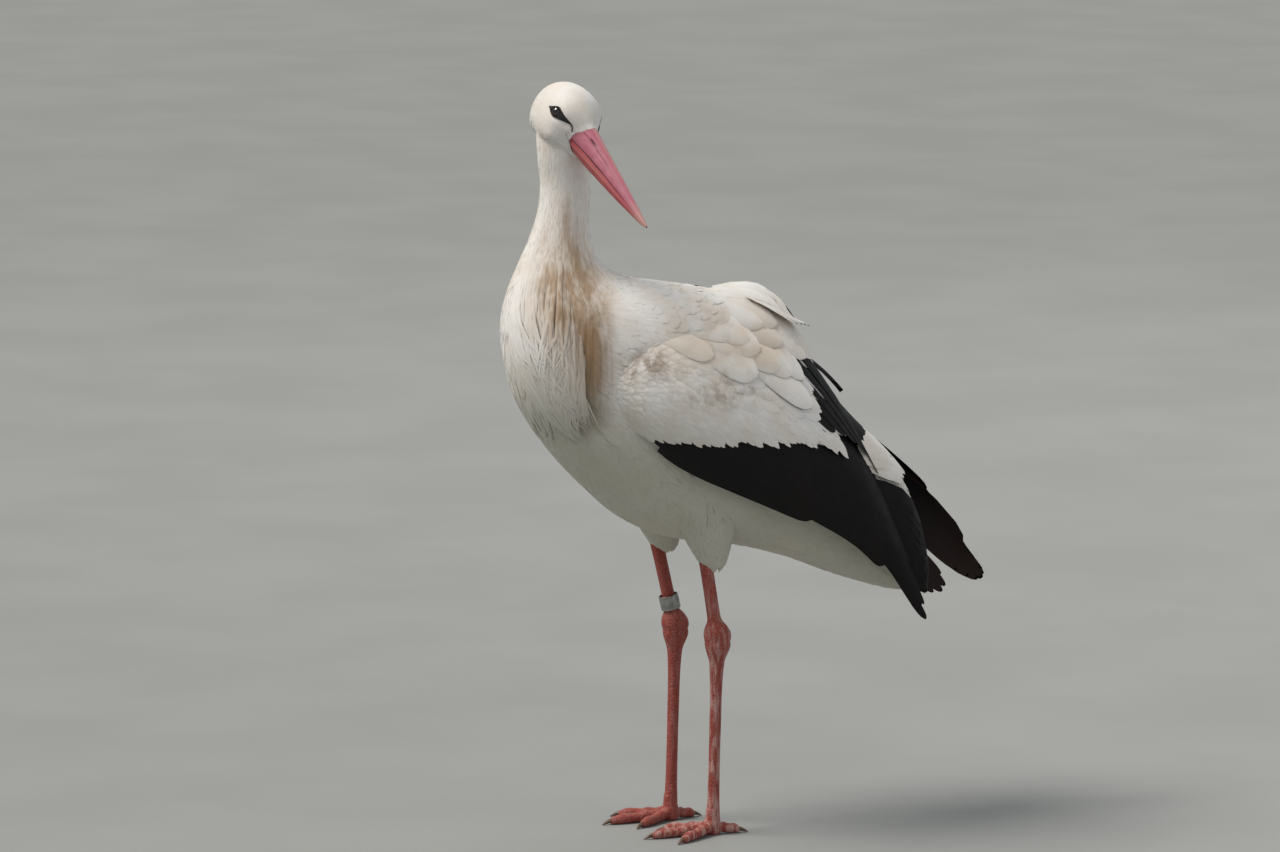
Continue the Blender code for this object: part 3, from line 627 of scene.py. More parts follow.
class Coat:
    """Vanes gathered for one piece of plumage."""

    def __init__(self):
        self.parts, self.start = [], 0

    def plant(self, surface, u, v, form, width, h, thick, tone, bake=None, tilt=0.0, bow=0.15):
        """Closed vanes along centre lines (u, v), each an array (feathers, rows).

        Across its centre line a vane reaches width * outline either way, along
        the surface and square to the line.  Its upper side stands thick * crown
        over a flat under side, also where the surface is hollow, and it leans by
        tilt from edge to edge.  It is shaded by the surface's own normal, turned
        by bow towards its two edges.  bake is each root's place on the unwrapped
        skin.
        """
        x, y = form["x"], form["y"]
        u, v, h = np.broadcast_arrays(u, v, h)
        width, tone = np.broadcast_to(width, len(u)), np.broadcast_to(tone, len(u))
        bake = body_bake(u[:, 0], v[:, 0]) if bake is None else bake
        base, along_u, along_v, out = tangents(surface, u, v, h)
        along = np.gradient(base, y, axis=1)
        side = unit(np.cross(out, along))
        cu, cv = per_mm(along_u, along_v, side)
        reach = width[:, None] * form["width"]
        normal = np.cross(along_u, along_v)
        normal = unit(normal * np.sign((normal * out).sum(-1, keepdims=True)))
        normal = unit(normal[:, :, None] + bow * x[:, None] * side[:, :, None])
        u_all, v_all = (
            line[..., None] + x * (reach * change)[..., None]
            + form["ragged"] * np.gradient(line, y, axis=1)[..., None]
            for line, change in ((u, cu), (v, cv)))
        crown = thick * form["crown"] * form["width"][:, None]
        points = surface(u_all, v_all, h[..., None] + tilt * x + crown)
        edge = points[:, :, :1] + (points[:, :, -1:] - points[:, :, :1]) * ((x + 1) / 2)[:, None]
        up = unit(out)[:, :, None]
        rise = ((points - edge) * up).sum(-1)
        points = points + np.maximum(crown - rise, 0)[..., None] * up
        feathers, rows, columns = points.shape[:3]
        quads, tris, under = vane_faces(rows, columns)
        first = self.start + rows * columns * np.arange(feathers)[:, None, None]
        spot = stacked(x[None, :] * 0.0015, y[:, None] * 0.003 - 0.0015)
        patch = np.clip(bake, 0.004, 0.996)[:, None, None] + spot
        vane = stacked(x[None, :] / 2 + 0.5, y[:, None]).reshape(-1, 2)
        self.parts.append((
            points.reshape(-1, 3), (first + quads).reshape(-1, 4), (first + tris).reshape(-1, 3),
            np.tile(under, feathers), normal.reshape(-1, 3), patch.reshape(-1, 2),
            np.tile(vane, (feathers, 1)), np.repeat(tone, rows * columns)))
        self.start += feathers * rows * columns

    def lay(self, surface, u, v, direction, rng, form, lengths, widths, low, high, thick,
            bake=None, ruffle=0.12, bow=0.15):
        """One combed feather at each root (u, v).

        Directions are turned by ruffle, and lengths and widths changed, by small
        random amounts.  The height goes smoothly from low at the root to high at
        the tip, so a tip lies over the next roots.
        """
        low, high = np.broadcast_to(low, u.shape), np.broadcast_to(high, u.shape)
        bake = body_bake(u, v) if bake is None else bake
        out = unit(tangents(surface, u, v, low)[3])
        direction = unit(direction - out * (direction * out).sum(-1, keepdims=True))
        direction = direction + np.cross(out, direction) * rng.normal(0, ruffle, u.shape)[:, None]
        lengths = lengths * rng.uniform(0.82, 1.18, u.shape)
        us, vs = comb(surface, u, v, direction, lengths, form["y"], low)
        lift = (high - low)[:, None] * (0.3 * form["y"] + 0.7 * smooth(form["y"]))
        h = low[:, None] + lift * rng.uniform(0.75, 1.1, u.shape)[:, None]
        widths = widths * rng.uniform(0.85, 1.15, u.shape)
        tone = rng.uniform(-1, 1, u.shape)
        # Feathers that would swing round a pole of the surface are left out.
        round_pole = np.linalg.norm(tangents(surface, us, vs, 0 * us)[2], axis=-1).min(axis=1)
        sound = (np.ptp(vs, axis=1) < 1.2) & (widths < 0.8 * round_pole)
        self.plant(surface, us[sound], vs[sound], form, widths[sound], h[sound], thick, tone[sound],
                   bake[sound], bow=bow)

    def make(self, name, material=None, slot="plumage", nodes=(), two_sided=False):
        """The gathered vanes as one piece, with their maps, tones and shading normals.

        Vanes that show their under sides are two-sided: those take the same
        normals reversed.
        """
        material = material or shared(plumage, "white feathers")
        points, quads, tris, under, normals, patch, vane, tone = (
            np.concatenate(part) for part in zip(*self.parts))
        obj = add_mesh(name, points, quads, tris)
        add_uv(obj, "OFBake", patch)
        add_uv(obj, "Vane", vane)
        tones = obj.data.attributes.new("tone", "FLOAT", "POINT")
        tones.data.foreach_set("value", tone.astype(np.float32))
        sides = normals[quads]
        if two_sided:
            sides[under] *= -1
        corners = np.concatenate((sides.reshape(-1, 3), normals[tris].reshape(-1, 3)))
        shading = obj.data.attributes.new("custom_normal", "FLOAT_VECTOR", "CORNER")
        shading.data.foreach_set("vector", corners.astype(np.float32).ravel())
        return finish_piece(obj, material, nodes)


def scatter(surface, u_range, v_range, area, rng):
    """Even but unruly roots over a surface, one for each area in square millimetres.

    Each narrow strip in u gets as many roots as its area asks for, spaced along
    v so that equal areas hold equally many.
    """
    fine = np.linspace(*v_range, 160)
    lane = np.linspace(*u_range, 60)
    mid_u, mid_v = grid(lane, fine)
    _, along_u, along_v, _ = tangents(surface, mid_u, mid_v, 0 * mid_u)
    size = np.linalg.norm(np.cross(along_u, along_v), axis=-1)
    deep = np.linalg.norm(along_u, axis=-1).mean(1)
    travel = np.concatenate(((0,), np.cumsum((deep[1:] + deep[:-1]) / 2 * np.diff(lane))))
    strips = max(int(travel[-1] / np.sqrt(area)), 2)
    edges = np.interp(np.linspace(0, travel[-1], strips + 1), travel, lane)
    us, vs = [], []
    for low, high in zip(edges, edges[1:]):
        row = np.array([np.interp((low + high) / 2, lane, size[:, k]) for k in range(len(fine))])
        total = np.concatenate(((0,), np.cumsum((row[1:] + row[:-1]) / 2 * np.diff(fine))))
        count = int(round(total[-1] * (high - low) / area))
        if count < 1:
            continue
        places = (np.arange(count) + rng.uniform(0, 1) + rng.uniform(-0.3, 0.3, count)) / count % 1.0
        vs.append(np.interp(places * total[-1], total, fine))
        us.append(low + (high - low) * rng.uniform(0, 1, count))
    return np.concatenate(us), np.concatenate(vs)


def fused(obj, voxel, rounds):
    """One closed skin out of overlapping closed shapes, by voxels of that size, then softened."""
    remesh = obj.modifiers.new("skin", "REMESH")
    remesh.mode = "VOXEL"
    remesh.voxel_size = voxel * MM
    soften = obj.modifiers.new("soft", "SMOOTH")
    soften.factor, soften.iterations = 0.5, rounds
    bpy.context.view_layer.update()
    rough = obj.data
    obj.data = bpy.data.meshes.new_from_object(obj.evaluated_get(bpy.context.evaluated_depsgraph_get()))
    obj.modifiers.clear()
    bpy.data.meshes.remove(rough)
    obj.data.shade_smooth()
    return obj


# ------------------------------------------------------------------- materials
def add(tree, kind, inputs=None, take=0, stops=None, **settings):
    """Adds a node with its settings, its ramp's colour stops, and its inputs' values or
    links, and gives back one of its outputs."""
    made = tree.nodes.new("ShaderNode" + kind)
    for name, value in settings.items():
        setattr(made, name, value)
    for _ in range(len(stops or ()) - 2):
        made.color_ramp.elements.new(0.5)
    for element, (place, value) in zip(made.color_ramp.elements if stops else (), stops or ()):
        element.position, element.color = place, value
    for name, value in (inputs or {}).items():
        if isinstance(value, bpy.types.NodeSocket):
            tree.links.new(value, made.inputs[name])
        else:
            made.inputs[name].default_value = value
    return made.outputs[take] if made.outputs else None


def new_material(name):
    """A node material, what adds a node to it, and its shader, joined to the output."""
    material = bpy.data.materials.new(name)
    material.use_nodes = True
    tree = material.node_tree
    tree.nodes.clear()
    node = partial(add, tree)
    surface = node("BsdfPrincipled")
    node("OutputMaterial", {"Surface": surface})
    return material, node, surface.node


def dress(shader, paint, height, strength, depth, rough, fixed=None):
    """Joins a shader's paint, roughness and bump, and sets what is the same all over it.

    The bump follows the height pattern, depth is in metres, and roughness is a
    number or a pattern from low to high.
    """
    tree = shader.id_data
    tree.links.new(paint, shader.inputs["Base Color"])
    bump = add(tree, "Bump", {"Strength": strength, "Distance": depth, "Height": height})
    tree.links.new(bump, shader.inputs["Normal"])
    if isinstance(rough, tuple):
        pattern, low, high = rough
        tree.links.new(add(tree, "MapRange", {0: pattern, 1: 0.3, 2: 0.7, 3: low, 4: high}),
                       shader.inputs["Roughness"])
    else:
        shader.inputs["Roughness"].default_value = rough
    for name, value in (fixed or {}).items():
        shader.inputs[name].default_value = value


def tinted(node, paint, *layers):
    """Tints laid over a colour one after another.

    Each layer is (tint, pattern, low, high, least, most) and, if it is held to a
    part of the surface, that part's mask.  Its share goes smoothly from least to
    most as its pattern goes from low to high.
    """
    for tint, pattern, low, high, least, most, *masks in layers:
        share = node("MapRange", {0: pattern, 1: low, 2: high, 3: least, 4: most},
                     interpolation_type="SMOOTHSTEP")
        for mask in masks:
            share = node("Math", {0: share, 1: mask}, operation="MULTIPLY")
        tint = linear(tint) if isinstance(tint, str) else tint
        paint = node("Mix", {0: share, 6: paint, 7: tint}, 2, data_type="RGBA")
    return paint


def bird_coordinates(node):
    """Object coordinates brought back to the bird's own frame, in metres."""
    return node("Mapping", {"Vector": node("TexCoord", take=3), "Location": tuple(-MIDDLE)})


def zone(node, place, centre, size, near):
    """1 inside an egg-shaped zone and 0 outside: the distance from its centre, each
    axis divided by its size, faded between near and 1."""
    moved = node("VectorMath", {0: place, 1: centre}, operation="SUBTRACT")
    scaled = node("VectorMath", {0: moved, 1: [1 / s for s in size]}, operation="MULTIPLY")
    away = node("VectorMath", {0: scaled}, 1, operation="LENGTH")
    return node("MapRange", {0: away, 1: 1.0, 2: near}, interpolation_type="SMOOTHSTEP")


def vane_places(node):
    """Places on a feather: its UV, the place across it (0 to 1, the shaft at a half)
    and the share along it."""
    vane = node("UVMap", uv_map="Vane")
    across = node("SeparateXYZ", {0: vane})
    return vane, across, across.node.outputs[1]


def markings(node, stain):
    """The white coat's stains, tints and painted shade, the same on skin and feathers.

    Warm streaks run down the front of the neck, painted shadow darkens the hollow
    behind the neck's plumes and the breast under their tips, rusty grey stains lie
    on the wing's shoulder, and painted shade dulls the belly and the lower wing.
    """
    place = bird_coordinates(node)
    soft = node("TexNoise", {"Vector": place, "Scale": 26.0, "Detail": 3.0})
    fine = node("TexNoise", {"Vector": place, "Scale": 70.0, "Detail": 5.0, "Roughness": 0.65})
    hung = node("Mapping", {"Vector": place, "Scale": (1, 1, 0.05)})
    streak = node("TexNoise", {"Vector": hung, "Scale": 240.0, "Detail": 3.0})
    broad = node("TexNoise", {"Vector": hung, "Scale": 70.0, "Detail": 2.0})
    neck = zone(node, place, (0.055, -0.18, 0.645), (0.07, 0.06, 0.15), 0.2)
    # Painted shadow in the hollow behind the neck's plumes.
    hollow = zone(node, place, (0.078, -0.168, 0.565), (0.032, 0.045, 0.12), 0.2)
    throat = zone(node, place, (0.036, -0.162, 0.735), (0.022, 0.03, 0.04), 0.1)
    shoulder = zone(node, place, (0.10, -0.10, 0.568), (0.055, 0.06, 0.034), 0.1)
    smudge = zone(node, place, (0.112, -0.02, 0.536), (0.05, 0.10, 0.034), 0.1)
    # Painted shadow on the breast under the tips of the neck's plumes.
    fold_shade = zone(node, place, (0.072, -0.163, 0.508), (0.035, 0.035, 0.035), 0.1)
    upper = zone(node, place, (0.09, 0.04, 0.585), (0.10, 0.17, 0.07), 0.2)
    # Height above the ground, less towards the tail so that the rump stays white; low down it deepens the
    # painted shade of the belly and the lower wing.
    height = node("VectorMath", {0: place, 1: (0, 0.35, 1)}, 1, operation="DOT_PRODUCT")
    cream, tan, soot = colour("cream"), colour("tan"), colour("soot")
    return tinted(
        node, colour("white"),
        (cream, soft, 0.35, 0.7, 0.0, 0.45),
        (cream, soft, 0.3, 0.6, 0.2, 0.9, upper),
        (cream, broad, 0.3, 0.6, 0.5, 1.0, neck),
        (tan, broad, 0.38, 0.66, 0.15, 0.75, neck),
        (tan, streak, 0.42, 0.66, 0.0, 0.5, neck),
        # Painted shadow behind and under the neck's plumes, weaker on the plumes themselves.
        (tan, broad, 0.30, 0.60, 0.5 * stain, 0.9 * stain, hollow),
        ("#6B5438", streak, 0.40, 0.70, 0.2 * stain, 0.6 * stain, hollow),
        (soot, soft, 0.2, 0.6, 0.5 * stain, 0.9 * stain, fold_shade),
        (tan, broad, 0.40, 0.62, 0.0, 0.4, throat),
        (soot, fine, 0.34, 0.62, 0.15, 0.85, shoulder),
        (soot, fine, 0.40, 0.66, 0.0, 0.6, smudge),
        # Painted shade, deeper towards the ground.
        (colour("shade"), height, 0.52, 0.40, 0.0, 0.85))


def plumage(name, fine=True, stain=1.0):
    """White contour feathers: loose barbs that scatter light, matt and a little downy.

    Barbs are about 0.5 mm apart, drawn 1.2 mm apart so that they show.
    """
    material, node, shader = new_material(name)
    paint = markings(node, stain)
    if fine:
        vane, _, along = vane_places(node)
        tone = node("Attribute", take=2, attribute_name="tone")
        ribs = node("Mapping", {"Vector": vane, "Scale": (1, 0.09, 1)})
        pattern = node("TexNoise", {"Vector": ribs, "Scale": 26.0, "Detail": 2.0, "Roughness": 0.5})
        paint = tinted(node, paint, ("#A9A093", along, 0.6, 0.1, 0.0, 0.10),
                       ("#B5AA9B", tone, 1.0, -1.0, 0.0, 0.10),
                       ("#A79E92", pattern, 0.35, 0.65, 0.08, 0.0))
    else:
        pattern = node("TexNoise", {"Vector": bird_coordinates(node), "Scale": 900.0, "Detail": 3.0})
    dress(shader, paint, pattern, 0.18, 0.0005, 0.85, {
        "Subsurface Weight": 0.1, "Subsurface Radius": (1.0, 0.85, 0.7), "Subsurface Scale": 0.002,
        "Sheen Weight": 0.15, "Sheen Roughness": 0.5, "Specular IOR Level": 0.2})
    return material


def flight_vane(name, worn=0.12):
    """Black flight feathers: firm smooth vanes with a faint gloss, worn brown at the tips.

    Barbs run outwards and forwards from the shaft, drawn 1.5 mm apart.
    """
    material, node, shader = new_material(name)
    _, across, along = vane_places(node)
    aside = node("Math", {0: across, 1: 0.5}, operation="SUBTRACT")
    shaft = node("Math", {0: aside}, operation="ABSOLUTE")
    patch = node("TexNoise", {"Vector": bird_coordinates(node), "Scale": 60.0, "Detail": 3.0})
    steps = node("Math", {0: along, 1: 900.0}, operation="MULTIPLY")
    slant = node("Math", {0: shaft, 1: -120.0, 2: steps}, operation="MULTIPLY_ADD")
    barbs = node("Math", {0: slant}, operation="SINE")
    tip = node("MapRange", {0: along, 1: 0.72, 2: 1.0})
    paint = tinted(node, colour("black"),
                   (colour("worn"), patch, 0.3, 0.7, worn, min(1.4 * worn, 1.0), tip),
                   (colour("worn"), shaft, 0.40, 0.5, 0.0, worn),
                   ("#171617", barbs, -1.0, 1.0, 0.0, 0.2),
                   ("#1E1A19", shaft, 0.03, 0.01, 0.0, 0.4))
    dress(shader, paint, barbs, 0.15, 0.0003, (patch, 0.52, 0.66), {"Specular IOR Level": 0.2})
    return material


def bill_horn(upper):
    """Keratin bill: smooth grown horn, waxy red and paler at the tip, with a painted
    highlight along the ridge and painted shade inside the nostril and its groove.

    Its grain is fine lines along the bill about 1 mm apart.
    """
    material, node, shader = new_material("bill keratin upper" if upper else "bill keratin lower")
    ribbon = node("UVMap", uv_map="Bill")
    along = node("SeparateXYZ", {0: ribbon})
    height = along.node.outputs[1]
    blotch = node("TexNoise", {"Vector": bird_coordinates(node), "Scale": 90.0, "Detail": 3.0})
    drawn = node("Mapping", {"Vector": ribbon, "Scale": (0.12, 1, 1)})
    grain = node("TexNoise", {"Vector": drawn, "Scale": 60.0, "Detail": 3.0})
    if upper:
        # Painted shade inside the nostril slit and along its groove.
        slit = zone(node, ribbon, (0.195, 0.69, 0), (0.075, 0.06, 1), 0.3)
        fold_shade = zone(node, ribbon, (0.30, 0.63, 0), (0.42, 0.06, 1), 0.1)
        edge = zone(node, ribbon, (0.45, 0.0, 0), (0.6, 0.14, 1), 0.2)
        paint = tinted(
            node, colour("bill"), ("#8A3B4C", blotch, 0.35, 0.65, 0.0, 0.4),
            ("#CF9BA5", grain, 0.45, 0.65, 0.0, 0.5), ("#7A2F3D", fold_shade, 0.0, 1.0, 0.0, 0.7),
            # Painted highlight along the ridge.
            ("#B9667A", height, 0.72, 1.0, 0.0, 0.7), (colour("horn"), height, 0.93, 1.0, 0.0, 0.45),
            ("#6A2730", edge, 0.0, 1.0, 0.0, 0.85), ("#2A0F12", slit, 0.2, 0.9, 0.0, 0.9))
    else:
        lip = zone(node, ribbon, (0.40, 0.2, 0), (0.6, 0.16, 1), 0.3)
        paint = tinted(
            node, colour("bill_low"), ("#8A2F33", blotch, 0.35, 0.65, 0.0, 0.4),
            ("#C06A6A", grain, 0.45, 0.65, 0.0, 0.3), ("#CF8F8A", lip, 0.0, 1.0, 0.0, 0.45))
    paint = tinted(node, paint, (colour("horn"), along, 0.72, 1.0, 0.0, 0.85),
                   ("#5B4237", along, 0.985, 1.0, 0.0, 0.6))
    dress(shader, paint, grain, 0.25, 0.0005, (blotch, 0.32, 0.48),
          {"Subsurface Weight": 0.08, "Subsurface Scale": 0.003})
    return material


def eye_ball():
    """Wet cornea over a dark brown iris and a round pupil: a mirror-like highlight."""
    material, node, shader = new_material("wet eye")
    disc = node("UVMap", uv_map="Eye")
    away = node("SeparateXYZ", {0: disc})
    settings = bpy.context.scene.stork_head
    pupil, iris = (np.arcsin(r / MM / EYE_RADIUS) / np.pi for r in (settings.pupil, settings.iris))
    spokes = node("Mapping", {"Vector": disc, "Scale": (0.4, 1, 1)})
    rays = node("TexNoise", {"Vector": spokes, "Scale": 40.0, "Detail": 2.0, "Roughness": 0.6})
    dark, light = (0, 0, 0, 1), (1, 1, 1, 1)
    ring = node("ValToRGB", {"Fac": away}, stops=(
        (pupil - 0.006, dark), (pupil + 0.006, light), (iris, light), (iris + 0.012, dark)))
    paint = tinted(node, linear("#060505"), ("#120B08", ring, 0.0, 1.0, 0.0, 1.0),
                   ("#2A1810", rays, 0.3, 0.7, 0.0, 1.0, ring))
    dress(shader, paint, rays, 0.05, 0.0001, 0.08, {"Coat Weight": 1.0, "Coat Roughness": 0.02})
    return material


def bare_skin():
    """Black skin round the eye: soft and finely wrinkled."""
    material, node, shader = new_material("bare face skin")
    crease = node("TexVoronoi", {"Vector": bird_coordinates(node), "Scale": 1100.0},
                  feature="DISTANCE_TO_EDGE")
    paint = tinted(node, colour("face"), ("#2E2A2B", crease, 0.0, 0.3, 0.4, 0.0))
    dress(shader, paint, crease, 0.5, 0.0003, 0.5)
    return material


def leg_scales():
    """Scaly leg skin: small horny plates with pale grooves, dusted with dried droppings."""
    material, node, shader = new_material("leg scales")
    place = bird_coordinates(node)
    size = bpy.context.scene.stork_legs.scale_size
    plates = node("Mapping", {"Vector": place, "Scale": (1, 1, 0.72)})
    groove = node("TexVoronoi", {"Vector": plates, "Scale": 1 / size}, feature="DISTANCE_TO_EDGE")
    shade = node("SeparateColor", {0: node("TexVoronoi", {"Vector": plates, "Scale": 1 / size}, 1)})
    blotch = node("TexNoise", {"Vector": place, "Scale": 70.0, "Detail": 3.0})
    hung = node("Mapping", {"Vector": place, "Scale": (1, 1, 0.16)})
    streak = node("TexNoise", {"Vector": hung, "Scale": 220.0, "Detail": 4.0})
    beside = node("SeparateXYZ", {0: place})
    low = node("MapRange", {0: beside.node.outputs[2], 1: 0.30, 2: 0.16, 3: 0.35, 4: 1.0})
    left = node("MapRange", {0: beside, 1: -0.02, 2: 0.02, 3: 0.25, 4: 1.0})
    paint = tinted(
        node, colour("leg"), ("#7C2C22", shade, 0.0, 1.0, 0.0, 0.45),
        ("#A9513F", blotch, 0.45, 0.7, 0.0, 0.4), (colour("chalk"), groove, 0.10, 0.0, 0.0, 0.15),
        (colour("chalk"), streak, 0.42, 0.66, 0.0, 0.7, low, left))
    raised = node("MapRange", {0: groove, 1: 0.0, 2: 0.28}, interpolation_type="SMOOTHSTEP")
    dress(shader, paint, raised, 0.8, 0.0009, (blotch, 0.5, 0.7),
          {"Subsurface Weight": 0.04, "Subsurface Scale": 0.002})
    return material


def claw_horn():
    """Brown claw horn: smooth, with paler scuffs all over."""
    material, node, shader = new_material("claw horn")
    scuff = node("TexNoise", {"Vector": bird_coordinates(node), "Scale": 500.0, "Detail": 3.0})
    paint = tinted(node, linear("#3C2A22"), ("#7A5C48", scuff, 0.35, 0.65, 0.0, 1.0))
    dress(shader, paint, scuff, 0.3, 0.0002, 0.42)
    return material


def ring_metal():
    """Rolled aluminium alloy, gone dull: brushed round the ring, with small scuffs."""
    material, node, shader = new_material("dull aluminium")
    place = bird_coordinates(node)
    rolled = node("Mapping", {"Vector": place, "Scale": (0.12, 0.12, 1)})
    brush = node("TexNoise", {"Vector": rolled, "Scale": 600.0, "Detail": 3.0, "Roughness": 0.6})
    dull = node("TexNoise", {"Vector": place, "Scale": 220.0, "Detail": 3.0})
    paint = tinted(node, colour("ring"), ("#7A7977", dull, 0.35, 0.65, 0.0, 0.6))
    dress(shader, paint, brush, 0.12, 0.0001, (brush, 0.38, 0.5), {"Metallic": 1.0})
    return material


def studio_floor():
    """Matt painted studio floor, with a faint roller texture."""
    material, node, shader = new_material("studio floor paint")
    place = node("TexCoord", take=3)
    cloud = node("TexNoise", {"Vector": place, "Scale": 3.0})
    roller = node("TexNoise", {"Vector": place, "Scale": 350.0})
    paint = tinted(node, colour("floor"), ("#8F918F", cloud, 0.3, 0.7, 0.0, 1.0))
    dress(shader, paint, roller, 0.1, 0.0005, 0.7)
    return material


def shared(maker, *arguments):
    """A material made once and used by several pieces."""
    key = maker.__name__ + "".join(str(a) for a in arguments)
    if key not in MADE:
        MADE[key] = maker(*arguments)
    return MADE[key]


MADE = {}


# ------------------------------------------------------------------------ skin
def covert_map(side):
    """The covert band of a wing as its own surface: share s from shoulder to the
    band's rear edge and v from the back to its lower edge.

    p = (0.57 + 0.175 v) s and q = (0.98 - 0.33 s - 0.22 s^3) v.
    """
    wing = wing_surface(side)

    def surface(s, v, h):
        return wing((0.57 + 0.175 * v) * s, (0.98 - 0.33 * s - 0.22 * s ** 3) * v, h)

    return surface


def pad_height(s, v):
    """Outer height of the flesh under the coverts: it rises from 1 mm at the front edge
    to 7.4 mm, and is 3 mm lower along both edges and at the rear."""
    sides = np.sin(np.pi * np.clip(v, 0.02, 0.98)) ** 0.4
    return 1.0 + 3.4 * smooth(s / 0.2) + 3.0 * sides * smooth(s / 0.3) * smooth((1.0 - s) / 0.35 + 0.1)


def wing_pad(side):
    """Flesh and shafts under the coverts: a flat closed bag whose rings run out
    over the outer side and back over the inner side, thin at both ends."""
    surface = covert_map(side)
    s = np.linspace(0.0, 0.93, 40)
    v = np.linspace(0.01, 0.985, 30)
    grid_s, grid_v = grid(s, v)
    outer = surface(grid_s, grid_v, pad_height(grid_s, grid_v))
    inner = surface(grid_s, grid_v, 3.6 - 1.4 * pad_height(grid_s, grid_v))
    return closed_tube(np.concatenate((outer, inner[:, ::-1]), 1))


class STORK_OT_skin(Operator):
    """Skin of head, neck, trunk, tail, thighs and wings in one closed piece"""
    bl_idname = "stork.skin"
    bl_label = "Skin"

    def execute(self, context):
        a = round_turn(64)
        t = np.linspace(-0.35, BODY_END, 120)
        grid_t, grid_a = grid(t, a)
        depth = 1.6 + 1.2 * smooth((grid_t - 4) / 3) + 1.2 * smooth((grid_t - 13) / 2)
        parts = [closed_tube(body_surface(grid_t, grid_a, -depth))]
        grid_s, grid_a = grid(np.linspace(-0.75, HEAD_END, 90), a)
        parts.append(closed_tube(head_surface(grid_s, grid_a, 0 * grid_s - 1.0)))
        for side in WINGS:
            thigh = thigh_surface(side)
            grid_u, grid_a = grid(np.linspace(0.02, 1.0, 40), a[::2])
            parts.append(closed_tube(thigh(grid_u, grid_a, 0 * grid_u - 3.4)))
            parts.append(wing_pad(side))
        skin = fused(add_mesh("skin", *joined(parts)), 2.8, 5)
        finish_piece(skin, shared(plumage, "downy skin", False),
                     ("neck", "trunk", "tail", "head", "thigh_left", "thigh_right",
                      "wing_left_coverts", "wing_right_coverts"))
        return DONE


# ------------------------------------------------------------------------ head
def face_edge(above):
    """How far ahead of the head's centre the face's feathers reach, by height over it.

    The edge slants from the forehead, 41 mm ahead, back to the corner of the
    mouth, 28.5 mm ahead, and forwards again to the chin, 37.5 mm ahead.
    """
    return np.interp(above, (-19, -14, -8, 1.9, 7, 12.3, 17.8, 22, 27),
                     (37.5, 36, 33, 28.5, 32, 37.5, 38.5, 41, 38))


def eye_frame(sign):
    """The eye's centre, and its outward, forward and upward directions, in the head's frame.

    sign is 1 for the side beside the head that faces its right."""
    outward = unit(np.array((0.10, 0.96 * sign, 0.26)))
    forward = unit(np.array((1.0, 0, 0)) - outward * outward[0])
    upward = np.cross(outward, forward)
    centre = np.array((EYE_PLACE[0], EYE_PLACE[1] * sign, EYE_PLACE[2]))
    return centre, outward, forward, upward * np.sign(upward[2])


EYE_POINT = -0.13               # turn of the black skin's front point, from ahead
EYE_TILT = np.radians(14)       # that point's line lies a little above the rear one


def eye_skin_reach(turn):
    """Outline of the black skin round the eye, in mm from its centre: a round of
    about 6 mm with straight sides that run to a point 25 mm ahead, and to a
    shorter one 13 mm behind.

    A side that touches a round of radius r and ends at distance d lies
    r / cos(turn - acos(r / d)) from the centre.
    """
    reaches = []
    for point, distance, radius in ((EYE_POINT, 25.0, 6.6), (np.pi, 13.0, 5.9)):
        away = np.abs((turn - point + np.pi) % TURN - np.pi)
        side = np.arccos(radius / distance)
        reaches.append(radius / np.cos(np.clip(away - side, -side, 0)) * (1 - 0.1 * smooth(away - 1.2)))
    return np.maximum(*reaches)


def around_eye(local, sign):
    """Distance from the eye's axis, and turn round it from ahead, of points in the head's frame."""
    centre, _, forward, upward = eye_frame(sign)
    x, y = (local - centre) @ forward, (local - centre) @ upward
    return np.hypot(x, y), np.arctan2(y, x) - EYE_TILT


def beside_axis(sign, reach, turn):
    """Points reach mm from the eye's axis, at its centre's depth, at a turn from ahead."""
    centre, _, forward, upward = eye_frame(sign)
    return (centre + forward * (reach * np.cos(turn + EYE_TILT))[..., None]
            + upward * (reach * np.sin(turn + EYE_TILT))[..., None])


def on_head(sign, reach, turn):
    """Points of the head's surface seen reach mm from the eye's axis, at a turn from ahead.

    Newton steps over the head's two parameters until each point lies on its line.
    """
    outward = eye_frame(sign)[1]
    target = beside_axis(sign, reach, turn)
    s = np.full(reach.shape, 5.0)
    a = np.full(reach.shape, sign * 1.15)
    for _ in range(14):
        here, along_s, along_a, _ = tangents(head_local, s, a, 0 * s)
        gap = target - here
        flat = [w - outward * (w @ outward)[..., None] for w in (along_s, along_a, gap)]
        ds, da = per_mm(*flat)
        s, a = s + np.clip(ds, -0.8, 0.8), a + np.clip(da, -0.3, 0.3)
    return head_local(s, a, 0 * s), tangents(head_local, s, a, 0 * s)[3]


def past_eye_skin(local, sign):
    """How far points in the head's frame lie outside the black skin of one eye, and
    their turn round it; points on the head's other side count as far off."""
    reach, turn = around_eye(local, sign)
    return np.where(local[:, 1] * sign > 8, reach - eye_skin_reach(turn), 30), turn


